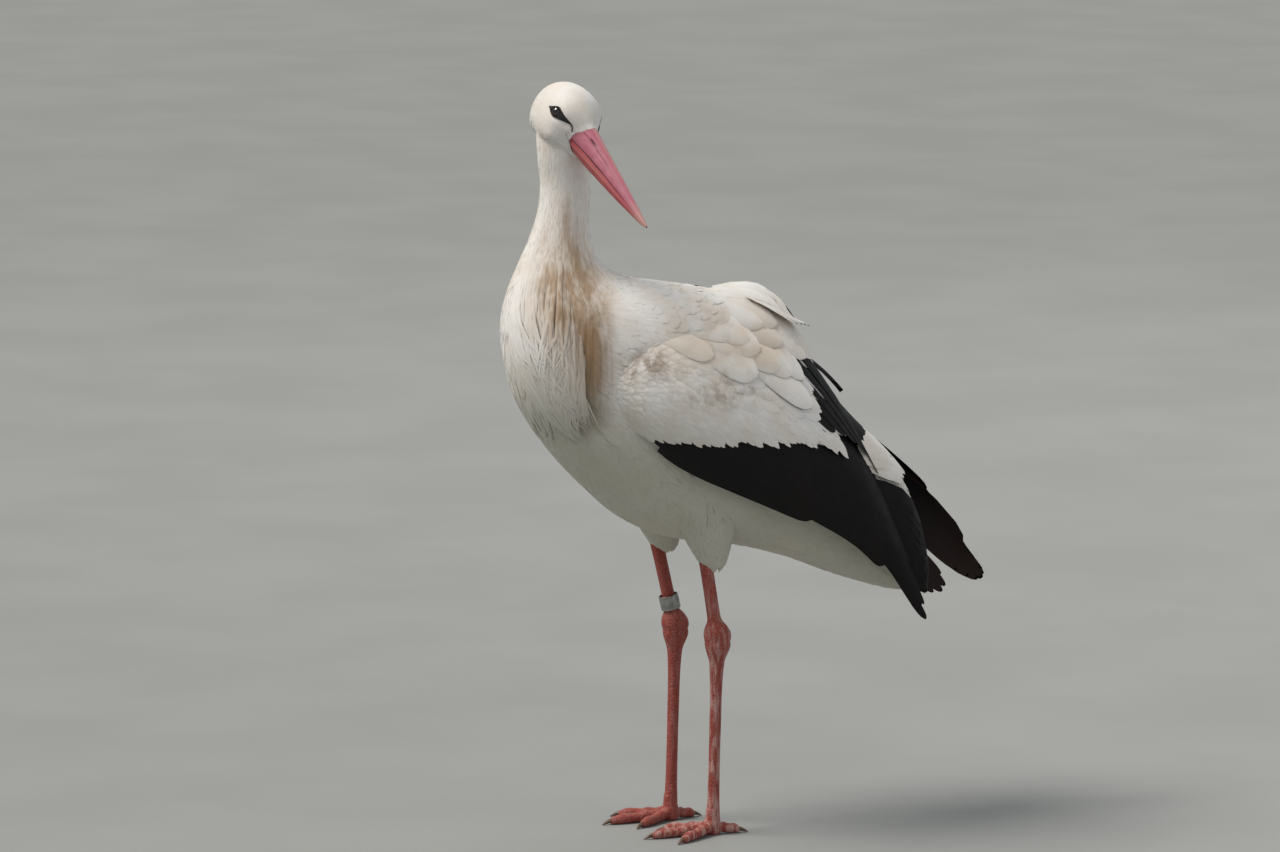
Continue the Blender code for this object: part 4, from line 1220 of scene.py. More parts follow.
class STORK_OT_head_feathers(Operator):
    """Short feathers of the head, pointing back from the bill, smallest on the face"""
    bl_idname = "stork.head_feathers"
    bl_label = "Head feathers"

    def execute(self, context):
        rng = dice(0)
        s, a = scatter(head_surface, (-0.7, 9.6), (0, TURN), 1.95, rng)
        local = head_local(s, a, 0 * s)
        keep = local[:, 0] < face_edge(local[:, 2]) + 0.8
        for sign in (1, -1):
            past, turn = past_eye_skin(local, sign)
            keep &= past >= -0.4 + 1.6 * hump(turn, EYE_POINT, 0.5)
        s, a, local = s[keep], a[keep], local[keep]
        bake = stacked(s / 11 + 0.07, a / TURN)
        ahead, beside, above = local.T
        edge = face_edge(above) - ahead
        near_eye = np.minimum(*(past_eye_skin(local, sign)[0] for sign in (1, -1)))
        small = 0.38 + 0.62 * smooth(np.minimum((edge + 1) / 34, (near_eye + 5) / 26))
        fall = smooth((14 - ahead) / 46)[:, None] * 0.75
        direction = np.array((-1.0, 0, 0)) * (1 - fall) + DOWN @ HEAD_AXES.T * fall
        direction[:, 2] -= 0.25 * smooth((10 - above) / 30)
        cheek = hump(ahead, 22, 14) * hump(above, -17, 9) * smooth((np.abs(beside) - 5) / 10)
        nape = smooth((-8 - ahead) / 20) * smooth((-6 - above) / 20)
        coat = Coat()
        coat.lay(head_surface, s, a, direction @ HEAD_AXES, rng, TUFT,
                 lengths=length("stork_coat", "head_feather") * (small + 0.8 * cheek + 0.5 * nape),
                 widths=0.95 + 0.6 * small, low=-0.9,
                 high=-0.35 + 0.25 * small + 3.6 * cheek + 1.4 * nape, thick=0.15, bake=bake)
        # A fringe of longer tufts falls forwards over the corner of the mouth.
        fringe = (edge < 6) & (above < 3) & (above > -17) & (np.abs(beside) > 8)
        coat.lay(head_surface, s[fringe], a[fringe], np.array((0.8, 0, -0.6)) @ HEAD_AXES, rng, TUFT,
                 lengths=7.5, widths=1.2, low=-0.6, high=1.8, thick=0.15, bake=bake[fringe], ruffle=0.3)
        coat.make("head_feathers")
        return DONE


class STORK_OT_bill(Operator):
    """Upper and lower bill, with ridge, groove, nostril slits and cutting edges"""
    bl_idname = "stork.bill"
    bl_label = "Bill"

    def half(self, upper, slit):
        """One half of the bill.

        At each distance the outer arc is (half width cos a (1 - 0.28 sin a), mouth
        edge + (peak - edge) sin a ^ 0.85) for a from 0 to pi, and the mouth edge is
        a straight line back.  The upper half has a ridge along its top, a groove
        and a slit on each side; both halves round off at the cutting edge.
        """
        rows = even_rows(BILL_ROWS, 140)
        distance, ridge, mouth, keel, half_width = rows.T[:, :, None]
        a = np.linspace(0, np.pi, 49)[None]
        rise = np.clip(np.sin(a), 0, 1)
        lip = 0.35 if upper else -0.35
        edge = mouth + lip * 0.5
        peak = ridge if upper else keel
        wide = half_width * (1 - 0.07 * hump(rise, 0, 0.10))
        size = half_width / 19.5
        if upper:
            slope = hump(rise, 0.62, 0.10)
            groove = -1.5 * slope * smooth((distance - 36) / 10) * smooth((125 - distance) / 60) * size
            nostril = -2.2 * hump(distance, 57, slit / 2) * hump(rise, 0.70, 0.06)
            sink = groove + nostril
            top = 0.35 * hump(np.cos(a), 0, 0.16) * smooth((150 - distance) / 60)
        else:
            sink = -0.5 * hump(rise, 0.45, 0.12) * smooth((distance - 34) / 15) * size
            top = 0.0 * a
        beside = (wide + sink) * np.cos(a) * (1 - 0.28 * rise)
        above = edge + (peak - edge) * rise ** 0.85 + (top if upper else -top)
        arc = stacked(distance, beside, above)
        back = np.linspace(arc[:, -1], arc[:, 0], 9, axis=1)[:, 1:-1]
        rings = np.concatenate((arc, back), 1)
        points, quads, tris = closed_tube(from_head(rings))
        share = np.concatenate((rise[0], np.zeros(7)))
        uv = stacked((distance - 26) / 156, share[None]).reshape(-1, 2)
        return points, quads, tris, np.concatenate((uv, ((0, 0.5), (1, 0.5))))

    def execute(self, context):
        slit = length("stork_head", "nostril")
        for upper, name in ((True, "bill_upper"), (False, "bill_lower")):
            points, quads, tris, uv = self.half(upper, slit)
            horn = add_mesh("horn_" + name, points, quads, tris)
            add_uv(horn, "Bill", uv)
            finish_piece(horn, bill_horn(upper), (name,))
        return DONE


class STORK_OT_eyes(Operator):
    """Eyeballs with a raised cornea, and the black skin and lids round them"""
    bl_idname = "stork.eyes"
    bl_label = "Eyes"

    def ball(self, sign):
        """Sphere of the eye's radius, polar about its outward axis, with a cornea that
        bulges by 0.5 exp(-(angle / 0.6)^2) mm; its UV is (angle from the axis, turn)."""
        centre, outward, forward, upward = eye_frame(sign)
        angle = np.linspace(0.01, np.pi - 0.01, 60)[:, None]
        turn = round_turn(64)[None]
        radius = EYE_RADIUS - 0.4 + 0.4 * np.exp(-(angle / 0.6) ** 2)
        rings = (centre + (radius * np.sin(angle) * np.cos(turn))[..., None] * forward
                 + (radius * np.sin(angle) * np.sin(turn))[..., None] * upward
                 + (radius * np.cos(angle) + 0 * turn)[..., None] * outward)
        uv = stacked(angle / np.pi, np.abs(turn / TURN - 0.5)).reshape(-1, 2)
        return closed_tube(from_head(rings)), np.concatenate((uv, ((0, 0.25), (1, 0.25))))

    def skin(self, sign, opening, lid):
        """Black skin: a closed band that runs out from the lids over the head and
        back beneath it.

        Near the opening it follows a sphere one lid's thickness outside the
        eyeball, and further out the head's surface; the lid's edge is rounded, and
        low ripples run round the eye.
        """
        centre, outward = eye_frame(sign)[:2]
        turn = round_turn(96)[:, None]
        share = np.linspace(0, 1, 22)[None]
        slant = 1 + 0.16 * np.cos(turn) ** 2
        reach = opening * slant + (eye_skin_reach(turn) - opening * slant + 0.3) * share ** 1.1
        on, out = on_head(sign, reach, turn + 0 * share)
        out = unit(out)
        line = beside_axis(sign, reach, turn)
        sphere = np.sqrt(np.clip((EYE_RADIUS + 0.5) ** 2 - reach ** 2, 1, None))
        near = smooth(1 - (reach - opening * slant) / 3.2)
        depth = (on - centre) @ outward
        ripple = 0.22 * np.sin(reach * 3.6) * smooth(share * 4) * smooth((1 - share) * 4)
        edge = 0.75 * smooth((1 - share) / 0.2) - 0.9 * smooth((share - 0.8) / 0.2)
        head_depth = depth + edge + ripple
        lids = sphere + lid * np.sqrt(np.clip(1 - (1 - smooth(share * 6)) ** 2, 0, 1))
        outer_depth = head_depth + (np.maximum(lids, head_depth) - head_depth) * near
        under = np.maximum(sphere - 0.4, depth - 1.5) * near + (depth - 2.6) * (1 - near)
        inner_depth = np.minimum(outer_depth, under) - 0.15
        outer = line + outward * outer_depth[..., None]
        inner = line + outward * inner_depth[..., None]
        return closed_ring(from_head(np.concatenate((outer, inner[:, ::-1]), 1)))

    def lore(self, sign):
        """Thin dark line from the skin's point down to the corner of the mouth: a tube
        of about 1 mm along a smooth path on the head."""
        path = spline(((24.0, 23.5, 14.4), (27.0, 22.0, 13.2), (29.5, 20.9, 11.4), (31.0, 20.2, 8.6),
                       (31.6, 19.3, 7.0)), np.linspace(0, 4, 40)) * (1, sign, 1)
        radii = 0.72 * np.sin(np.pi * np.linspace(0.06, 0.94, 40)) ** 0.5
        return closed_tube(tube_rings(from_head(path), radii, 10))

    def execute(self, context):
        opening, lid = length("stork_head", "eye_opening"), length("stork_head", "lid")
        for sign, side in ((1, "right"), (-1, "left")):
            (points, quads, tris), uv = self.ball(sign)
            ball = add_mesh("eyeball_" + side, points, quads, tris)
            add_uv(ball, "Eye", uv)
            finish_piece(ball, shared(eye_ball), ("eye_" + side,))
            skin = add_mesh("eye_skin_" + side, *joined((self.skin(sign, opening, lid), self.lore(sign))))
            finish_piece(skin, shared(bare_skin), ())
        return DONE


# ------------------------------------------------------- neck, breast and back
def rearwards(t, a):
    """The trunk's own direction towards the tail."""
    return tangents(body_surface, t, a, 0 * t)[1]


class STORK_OT_neck_feathers(Operator):
    """Slim feathers hanging down the neck"""
    bl_idname = "stork.neck_feathers"
    bl_label = "Neck feathers"

    def execute(self, context):
        rng = dice(1)
        t, a = scatter(body_surface, (-0.25, 6.6), (0, TURN), 8.0, rng)
        coat = Coat()
        coat.lay(body_surface, t, a, DOWN, rng, TUFT,
                 lengths=length("stork_coat", "neck_feather") * (0.62 + 0.5 * smooth(t / 4)),
                 widths=1.3 + 0.5 * smooth(t / 5), low=-1.6, high=-1.1 + 0.3 * smooth(t / 5),
                 thick=0.12, ruffle=0.06)
        coat.make("neck_feathers")
        return DONE


class STORK_OT_plumes(Operator):
    """Long pointed plumes that hang from the foot of the neck over the breast"""
    bl_idname = "stork.plumes"
    bl_label = "Neck plumes"

    def bundle(self, coat, rng, count):
        """A loose bundle that sweeps from the breast to the near side and ends in two
        points; the plumes nearer that side go to the further point more often."""
        y = PLUME["y"]
        share = rng.uniform(0, 1, count)
        further = rng.uniform(0, 1, (count, 1)) < 0.25 + 0.5 * share[:, None]
        root = stacked(4.6 + 2.8 * rng.uniform(0, 1, count), 1.75 + 1.25 * share)
        ends = np.where(further, (9.95, 2.51), (9.6, 2.32))
        ends = ends + rng.normal(0, 1, (count, 2)) * (0.10, 0.03)
        ends[:, 0] -= 1.6 * rng.uniform(0, 1, count) ** 2
        t = root[:, :1] + (ends - root)[:, :1] * y
        a = root[:, 1:] + (ends - root)[:, 1:] * y ** 1.4
        rise = (3.0 + 7.0 * hump(a, 2.35, 0.45)) * smooth(1.2 * y) * rng.uniform(0.85, 1.0, (count, 1))
        coat.plant(body_surface, t, a, PLUME, width=rng.uniform(2.0, 3.2, count), h=rise - 1.0,
                   thick=0.2, tone=rng.uniform(-1, 1, count), bow=0.35)

    def execute(self, context):
        rng = dice(2)
        t, a = scatter(body_surface, (3.4, 8.4), (np.pi - 1.9, np.pi + 1.4), 30.0, rng)
        near = hump(a, np.pi - 1.0, 0.6) * smooth((t - 5) / 2)
        down = stacked(0.06 + 0.1 * near, 0.10, -1.0)
        coat = Coat()
        coat.lay(body_surface, t, a, down, rng, PLUME,
                 lengths=length("stork_coat", "plume") * (0.55 + 0.35 * smooth((t - 4) / 3)),
                 widths=3.2, low=-2.4, high=-1.3 + 0.5 * near, thick=0.12, ruffle=0.05)
        self.bundle(coat, rng, 420)
        # The plumes take a quarter of the painted shadow that darkens the breast round them.
        coat.make("neck_plumes", shared(plumage, "pale plumes", True, 0.25))
        return DONE


class STORK_OT_breast_feathers(Operator):
    """Soft feathers of breast, flanks and belly, in a front and a rear piece"""
    bl_idname = "stork.breast_feathers"
    bl_label = "Breast and belly feathers"

    def execute(self, context):
        size = length("stork_coat", "breast_feather")
        for name, span, number in (("breast_feathers", (5.6, 9.6), 3), ("belly_feathers", (9.6, 16.5), 4)):
            rng = dice(number)
            t, a = scatter(body_surface, span, np.radians((62, 298)), 32.0, rng)
            sink = smooth((t - 13) / 2)
            coat = Coat()
            coat.lay(body_surface, t, a, rearwards(t, a), rng, SOFT,
                     lengths=size * (0.95 + 0.35 * smooth((t - 7) / 5)), widths=4.0,
                     low=-2.7 - sink, high=-2.0 - sink, thick=0.2, ruffle=0.10)
            coat.make(name)
        return DONE


class STORK_OT_shoulder_feathers(Operator):
    """Soft feathers of the breast's sides that lie over the front edges of the wings"""
    bl_idname = "stork.shoulder_feathers"
    bl_label = "Shoulder feathers"

    def execute(self, context):
        size = length("stork_coat", "breast_feather")
        for k, (side, (_, sign)) in enumerate(WINGS.items()):
            rng = dice(20 + k)
            t, a = scatter(body_surface, (6.3, 11.2), np.radians((52, 132)), 20.0, rng)
            middle = hump(a, np.radians(98), np.radians(36))
            puff = middle * smooth((11.2 - t) / 2.5) * smooth((t - 6) / 1.5)
            drape = smooth((t - 7) / 1.5) * hump(a, 1.75, 0.4)
            coat = Coat()
            coat.lay(body_surface, t, a * sign, np.array((0, 0.85, -0.55)), rng, SOFT,
                     lengths=size * (1.0 + 0.5 * middle), widths=4.2, low=-2.5 + 3.4 * puff,
                     high=-1.8 + 3.9 * puff + 3.0 * drape, thick=0.6, ruffle=0.09)
            coat.make("shoulder_feathers_" + side)
        return DONE


class STORK_OT_back_feathers(Operator):
    """Broad feathers along the back, from the foot of the neck to the rump"""
    bl_idname = "stork.back_feathers"
    bl_label = "Back feathers"

    def execute(self, context):
        rng = dice(5)
        t, a = scatter(body_surface, (5.4, 10.9), np.radians((-66, 66)), 48.0, rng)
        grow = smooth((t - 5.5) / 2.5)
        coat = Coat()
        coat.lay(body_surface, t, a, rearwards(t, a), rng, ROUND,
                 lengths=length("stork_coat", "back_feather") * (0.6 + 0.5 * grow),
                 widths=3.4 + 4.6 * grow, low=-2.5 + 1.6 * grow, high=-1.6 + 2.9 * grow,
                 thick=0.25, ruffle=0.08)
        coat.make("back_feathers")
        return DONE


class STORK_OT_thigh_feathers(Operator):
    """Soft feathers down each thigh, closing round the bare shin"""
    bl_idname = "stork.thigh_feathers"
    bl_label = "Thigh feathers"

    def execute(self, context):
        size = length("stork_coat", "thigh_feather")
        for k, side in enumerate(WINGS):
            rng = dice(6 + k)
            surface = thigh_surface(side)
            u, a = scatter(surface, (0.10, 0.92), (0, TURN), 21.0, rng)
            coat = Coat()
            coat.lay(surface, u, a, DOWN, rng, SOFT, lengths=size * (0.8 + 1.1 * u ** 2),
                     widths=3.2 - 0.6 * u, low=-3.3, high=-2.3 + 0.8 * u, thick=0.35,
                     bake=stacked(0.05 + 0.9 * u, a % TURN / TURN), ruffle=0.14)
            coat.make("thigh_feathers_" + side)
        return DONE


# ----------------------------------------------------------------------- wings
def chord(surface, p, low, high):
    """Length in millimetres of the line p = constant from q = low to q = high."""
    q = np.linspace(low, high, 40)
    points = surface(0 * q + p, q, 0 * q)
    return np.linalg.norm(np.diff(points, axis=0), axis=-1).sum()


class STORK_OT_coverts(Operator):
    """Rows of rounded coverts over each folded wing, small at the shoulder and long at the rear"""
    bl_idname = "stork.coverts"
    bl_label = "Wing coverts"

    def hang(self, coat, surface, s, v, lengths, widths, rng, drop):
        """Coverts whose tips lie at (s, v).

        They run with the wing near its back, and hang more and more towards its
        lower edge, by drop; roots are found by combing backwards from the tips.
        """
        def direction(s, v):
            _, flow, droop, _ = tangents(surface, s, v, 0 * s)
            return unit(flow) + (0.10 + drop * smooth((v - 0.45) / 0.5))[:, None] * unit(droop)

        back_s, back_v = comb(surface, s, v, direction(s, v), -lengths, np.linspace(0, 1, 5))
        root_s, root_v = np.clip(back_s[:, -1], 0.004, 1), np.clip(back_v[:, -1], 0.01, 0.98)
        low = pad_height(root_s, root_v) + 0.2
        high = np.maximum(pad_height(s, v), low - 1.6) + 0.45 + 0.008 * lengths
        coat.lay(surface, root_s, root_v, direction(root_s, root_v), rng, ROUND, lengths=lengths,
                 widths=widths, low=low, high=high, thick=0.2,
                 bake=stacked(0.1 + 0.8 * root_s, 0.02 + 0.96 * root_v), ruffle=0.05, bow=0.3)

    def rows(self, surface, rng):
        """Tips, lengths and half widths of the coverts, in rows across the wing from the
        rear forwards; every other row is moved by half a feather."""
        small, large = length("stork_coat", "covert"), length("stork_coat", "greater_covert")
        reach = chord(lambda s, v, h: surface(v, s, h), 0.5, 0, 1)
        rows = []
        tip = 1.0
        while tip > 0.04:
            size = small + (large - small) * smooth((tip - 0.2) / 0.8)
            half = 4.2 + 6.6 * smooth((tip - 0.1) / 0.9)
            count = int(chord(surface, tip, 0, 1) / (0.95 * half)) + 1
            places = (np.arange(count) + len(rows) % 2 / 2) / count
            tips_v = places * 0.90 + rng.normal(0, 0.15 / count, count)
            tips_s = tip + rng.normal(0, (0.06 if rows else 0.02) * size / reach, count)
            rows.append((tips_s, tips_v, np.full(count, size), np.full(count, half)))
            tip -= (0.24 + 0.12 * smooth(tip)) * size / reach
        return [np.concatenate(part) for part in zip(*rows)]

    def execute(self, context):
        for k, side in enumerate(WINGS):
            rng = dice(8 + k)
            surface = covert_map(side)
            coat = Coat()
            self.hang(coat, surface, *self.rows(surface, rng), rng, 0.9)
            # The longest coverts hang along the lower edge, with frayed ends.
            for edge, count in ((0.86, 60), (0.91, 75), (0.955, 90), (0.985, 110)):
                along = np.linspace(0.06, 0.99, count) + rng.normal(0, 0.003, count)
                self.hang(coat, surface, along, edge + rng.normal(0, 0.005, count),
                          24 + 16 * smooth(along / 0.7), rng.uniform(3.4, 5.0, count), rng, 1.5)
            coat.make("coverts_" + side)
        return DONE


class STORK_OT_scapulars(Operator):
    """Long round-tipped feathers from the shoulders over the tops of both wings"""
    bl_idname = "stork.scapulars"
    bl_label = "Scapulars"

    def layer(self, name, wing, p, q, rng, grown, rise, **looks):
        """One layer of them: grown gives lengths and half widths as (at the shoulder,
        more behind it), and rise the height of roots and of tips in the same way."""
        grow = smooth((p - 0.02) / 0.3)
        _, flow, droop, _ = tangents(wing, p, q, 0 * p)
        (size, longer), (half, wider) = grown
        (low, up), (high, higher, more) = rise
        two_sided = looks.pop("two_sided", False)
        coat = Coat()
        coat.lay(wing, p, q, unit(flow) + 0.12 * unit(droop), rng, ROUND, lengths=size + longer * grow,
                 widths=half + wider * grow, low=low + up * smooth((q + 0.06) / 0.18),
                 high=high + (higher + more * grow) * smooth((q + 0.08) / 0.16),
                 bake=stacked(0.05 + 0.9 * p, 0.3 + 0.6 * q), **looks)
        coat.make(name, two_sided=two_sided)

    def execute(self, context):
        for k, side in enumerate(WINGS):
            rng = dice(10 + k)
            wing = wing_surface(side)
            rows, across = grid(np.linspace(0.03, 0.43, 8), np.linspace(-0.05, 0.28, 5))
            p = (rows + rng.normal(0, 0.01, rows.shape)).ravel()
            q = (across + 0.04 * (np.arange(8)[:, None] % 2) + rng.normal(0, 0.01, rows.shape)).ravel()
            self.layer("scapulars_" + side, wing, p, q, rng, ((48, 38), (13, 8)),
                       ((4.0, 4.0), (4.6, 4.0, 1.8)), thick=0.4, ruffle=0.07, bow=0.4)
            # Down lines the inner rows, where the other side of the bird shows their under sides.
            inner = q < 0.1
            self.layer("scapular_down_" + side, wing, p[inner], q[inner], rng, ((46, 36), (12, 7)),
                       ((2.6, 4.0), (3.0, 3.6, 1.6)), thick=0.3, ruffle=0.03, two_sided=True)
        # A few of them stand away from the back, with their tips in the air.
        y, count = ROUND["y"], 4
        share = np.linspace(0, 1, count)[:, None]
        coat = Coat()
        coat.plant(body_surface, 9.6 + 0.2 * share + (1.3 + 0.1 * share) * y, 0.26 - 0.16 * share, ROUND,
                   width=8.5, h=14.0 + (11.5 + 8.0 * share) * y ** 1.7, thick=0.4, tone=0.0,
                   bake=np.tile((0.5, 0.1), (count, 1)), bow=0.4)
        coat.make("raised_scapulars", two_sided=True)
        return DONE


# Primaries of each wing, from the back to the lower edge: where across the wing a
# tip lies (q), how far out it reaches (p), and the feather's half width in mm.
# Tips stand together in groups, with gaps between the groups.
PRIMARIES = {
    "left": ((0.09, 0.955, 11.0), (0.20, 0.985, 12.0), (0.32, 0.97, 12.0), (0.42, 0.94, 9.0),
             (0.53, 0.955, 9.5), (0.60, 0.985, 8.0), (0.68, 1.0, 6.0), (0.80, 0.985, 6.0),
             (0.90, 1.0, 5.5)),
    "right": ((0.07, 0.965, 10.0), (0.15, 0.985, 11.0), (0.23, 0.998, 12.0), (0.31, 1.0, 12.0),
              (0.39, 1.0, 12.0), (0.47, 0.996, 11.0), (0.54, 0.986, 8.5), (0.59, 0.972, 6.0),
              (0.75, 0.965, 6.0), (0.81, 0.98, 8.0), (0.87, 0.985, 8.0), (0.93, 0.98, 7.0),
              (0.98, 0.965, 5.0)),
}


class STORK_OT_flight_feathers(Operator):
    """Black primaries, secondaries and tertials of each wing, shingled from the back outwards"""
    bl_idname = "stork.flight_feathers"
    bl_label = "Flight feathers"

    def fan(self, coat, side, starts, ends, widths, low, rng, lean, thick=0.9):
        """Feathers whose centre lines run from starts to ends, both (p, q) for each feather.

        q moves with the smooth step of the share along the feather.  Each one leans
        so that its lower edge lies over the next.
        """
        y, way, sign = FLIGHT["y"], ends - starts, WINGS[side][1]
        coat.plant(wing_surface(side), starts[:, :1] + way[:, :1] * y,
                   starts[:, 1:] + way[:, 1:] * (0.35 * y + 0.65 * smooth(y)), FLIGHT, widths,
                   low[:, None] + lean / 2, thick, rng.uniform(-1, 1, len(starts)), starts,
                   tilt=-sign * lean / 2)

    def over_rump(self, coat, side, t, a, width, h, rng):
        """Feathers whose centre lines lie over the rump, each one's edge over the next."""
        sign = WINGS[side][1]
        coat.plant(body_surface, t, sign * a, FLIGHT, width, h, 0.7, rng.uniform(-1, 1, len(t)),
                   tilt=-sign * 0.7)

    def primaries(self, coat, side, rng):
        """The long primaries, over shorter ones that fill the gaps between them."""
        root_p = 0.42
        tip_q, tip_p, half_width = np.transpose(PRIMARIES[side])
        count = len(tip_q)
        self.fan(coat, side, stacked(root_p, np.linspace(0.10, 0.95, count)), stacked(tip_p, tip_q),
                 half_width, np.linspace(1.2, 0.0, count), rng, 0.8)
        filler = np.linspace(0.06, 0.95, 12)
        self.fan(coat, side, stacked(root_p, filler * 0.9 + 0.06),
                 stacked(0.87 - 0.05 * np.abs(filler - 0.4), filler), 11.0,
                 np.linspace(0.9, 0.2, len(filler)), rng, 1.0)

    def inner_primaries(self, coat, side, rng):
        """The innermost ones, which lie over the tail and meet those of the other wing."""
        y, share = FLIGHT["y"], np.linspace(0, 1, 8)[:, None]
        self.over_rump(coat, side, 13.4 + 0.5 * share + (6.5 + 0.5 * share) * y,
                       1.35 + 0.25 * share + (1.25 * share - 1.19) * smooth(y) ** 0.8,
                       11.5, 2.6 - 1.2 * share, rng)

    def secondaries(self, coat, side, rng):
        """The middle of the wing, with slightly uneven tips."""
        count = 14
        tip_p = 0.645 - 0.035 * np.linspace(0, 1, count) + rng.normal(0, 0.004, count)
        self.fan(coat, side, stacked(0.13, np.linspace(0.18, 0.965, count)),
                 stacked(tip_p, np.linspace(0.06, 0.955, count)), 13.5, np.linspace(2.2, 1.4, count),
                 rng, 1.4, 0.6)

    def tertials(self, coat, side, rng):
        """The innermost feathers; the uppermost lie over the rump and meet those of the
        other wing, and on the right a narrow loose one curves away from the back."""
        count = 6
        share = np.linspace(0, 1, count)
        self.fan(coat, side, stacked(0.36, np.linspace(0.04, 0.36, count)),
                 stacked(0.845 - 0.17 * share ** 0.8, np.linspace(0.06, 0.40, count)), 12.5,
                 np.linspace(6.0, 4.4, count), rng, 1.4, 0.6)
        y, share = FLIGHT["y"], share[:, None]
        self.over_rump(coat, side, 10.5 + 0.1 * share + (3.35 + 0.25 * share - 0.4 * share ** 2) * y,
                       0.10 + 1.05 * share - (0.02 + 0.43 * share) * smooth(y), 12.0,
                       -3.2 + 7.0 * smooth(1.25 * y) - 0.6 * share, rng)
        if side == "right":
            y = PLUME["y"][None]
            coat.plant(body_surface, 11.35 + 1.35 * y, 0.04 + 0.04 * y, PLUME, width=2.4,
                       h=0.5 + 14.5 * (1 - (1 - y) ** 2), thick=0.8, tone=0.0,
                       bake=np.array(((0.55, 0.05),)), tilt=2.6)

    def execute(self, context):
        for k, side in enumerate(WINGS):
            rng = dice(12 + k)
            for group in (self.primaries, self.inner_primaries, self.secondaries, self.tertials):
                coat, name = Coat(), group.__name__
                group(coat, side, rng)
                worn = name == "primaries" and side == "right"
                black = ("worn flight feathers", 0.7) if worn else ("black flight feathers",)
                nodes = () if name == "inner_primaries" else ("wing_%s_%s" % (side, name),)
                coat.make(name + "_" + side, shared(flight_vane, *black), "flight_feathers", nodes, worn)
        return DONE


class STORK_OT_tail(Operator):
    """White tail feathers with their coverts above and below"""
    bl_idname = "stork.tail"
    bl_label = "Tail"

    def feathers(self, rng):
        """A fan of nine feathers above and another below."""
        y, share = FLIGHT["y"], np.linspace(-1, 1, 9)[:, None]
        coat = Coat()
        for centre in (0.0, np.pi):
            root, tip = centre + share * 1.45 * 0.9, centre + share * 1.45
            coat.plant(body_surface, 13.2 + (6.85 - 0.25 * share ** 2) * y,
                       root + (tip - root) * y, FLIGHT, width=13.0, h=-3.6 + 0.5 * (1 - np.abs(share)),
                       thick=0.8, tone=rng.uniform(-1, 1, len(share)))
        coat.make("tail_feathers")

    def coverts(self, rng):
        """Coverts all round the tail, and loose white feathers of the rump that rise
        over the wings' inner feathers."""
        t, a = scatter(body_surface, (13.6, 18.3), (0, TURN), 62.0, rng)
        coat = Coat()
        coat.lay(body_surface, t, a, rearwards(t, a), rng, ROUND,
                 lengths=46 - 5 * smooth((t - 15) / 3), widths=5.4, low=-4.2,
                 high=-2.7 + 1.8 * smooth(np.cos(a)), thick=0.3, ruffle=0.08, bow=0.3)
        share, turn = grid(np.linspace(0, 1, 5), np.linspace(-0.62, 0.80, 9))
        t = 12.3 + 1.3 * share + rng.normal(0, 0.06, share.shape)
        a = turn + 0.08 * (np.arange(5)[:, None] % 2) + rng.normal(0, 0.03, share.shape)
        t, a, share = (part.reshape(-1, 1) for part in (t, a, share))
        y = ROUND["y"]
        coat.plant(body_surface, t + (2.4 - 0.2 * share) * y, a * (1 - 0.2 * y), ROUND,
                   width=rng.uniform(9, 11.5, len(t)), h=-3.0 + 8.5 * smooth(1.1 * y), thick=0.6,
                   tone=rng.uniform(-1, 1, len(t)), bake=body_bake(t[:, 0], a[:, 0]))
        coat.make("tail_coverts")

    def execute(self, context):
        self.feathers(dice(14))
        self.coverts(dice(15))
        return DONE


# ------------------------------------------------------------------------ legs
def toe_line(side, spread, toe, count):
    """Centre line, radii and heading of a toe; its radius goes down and up again at the joints."""
    sign, foot_y = LEGS[side][:2]
    angle = np.radians(spread) * sign
    heading = np.array((np.sin(angle), -np.cos(angle), 0.0))
    share, size = even_rows(TOE_ROWS, count).T
    radii = TOE_RADIUS * size
    start = np.array((sign * STANCE, foot_y, 0.0)) + heading * TOE_START
    path = start + heading * (toe * share)[:, None]
    path[:, 2] = radii + TOE_RISE * (1 - share) ** 3
    return path, radii, heading


def above_ground(points):
    """Points below the ground pressed up to it."""
    return np.concatenate((points[..., :2], np.maximum(points[..., 2:], 0)), -1)


class STORK_OT_legs(Operator):
    """Bare scaly legs and feet, one closed skin each, with knobbly ankles"""
    bl_idname = "stork.legs"
    bl_label = "Legs"

    def execute(self, context):
        heel = length("stork_legs", "heel")
        for side, (sign, foot_y, ankle_y, *_) in LEGS.items():
            base, lean = shin_line(side)
            low = even_rows(TARSUS_ROWS, 60)
            z, radii = low.T
            path = stacked(sign * STANCE, foot_y + (ankle_y - foot_y) * z / ANKLE_HEIGHT, z)
            parts = [closed_tube(tube_rings(path, radii, 32, rear=1.4 * hump(z, 222, 9)))]
            high = even_rows(SHIN_ROWS, 60)
            far, radii = high.T
            far = far - 10.0 * (1 - smooth(far / 14))
            knob = (1 + 0.05 * hump(far, 6, 4)) * (0.7 + 0.3 * smooth((far + 6) / 5))
            parts.append(closed_tube(tube_rings(base + lean * far[:, None], radii * knob, 32,
                                                rear=heel * hump(far, 2, 10))))
            hub = np.array(((0, 8.2), (4, 10.0), (12, 9.8), (20, 8.5), (30, 7.9)))
            centre = np.array((sign * STANCE, foot_y, 0.0))
            parts.append(closed_tube(tube_rings(centre + hub[:, :1] * (0, 0, 1), hub[:, 1], 32)))
            for spread_angle, toe in TOES.values():
                path, radii, heading = toe_line(side, spread_angle, toe, 36)
                parts.append(closed_tube(above_ground(tube_rings(path, radii, 28, heading))))
            leg = fused(add_mesh("leg_" + side, *joined(parts)), 1.15, 3)
            finish_piece(leg, shared(leg_scales),
                         tuple(n + side for n in ("shin_", "ankle_", "tarsus_", "foot_")))
        return DONE


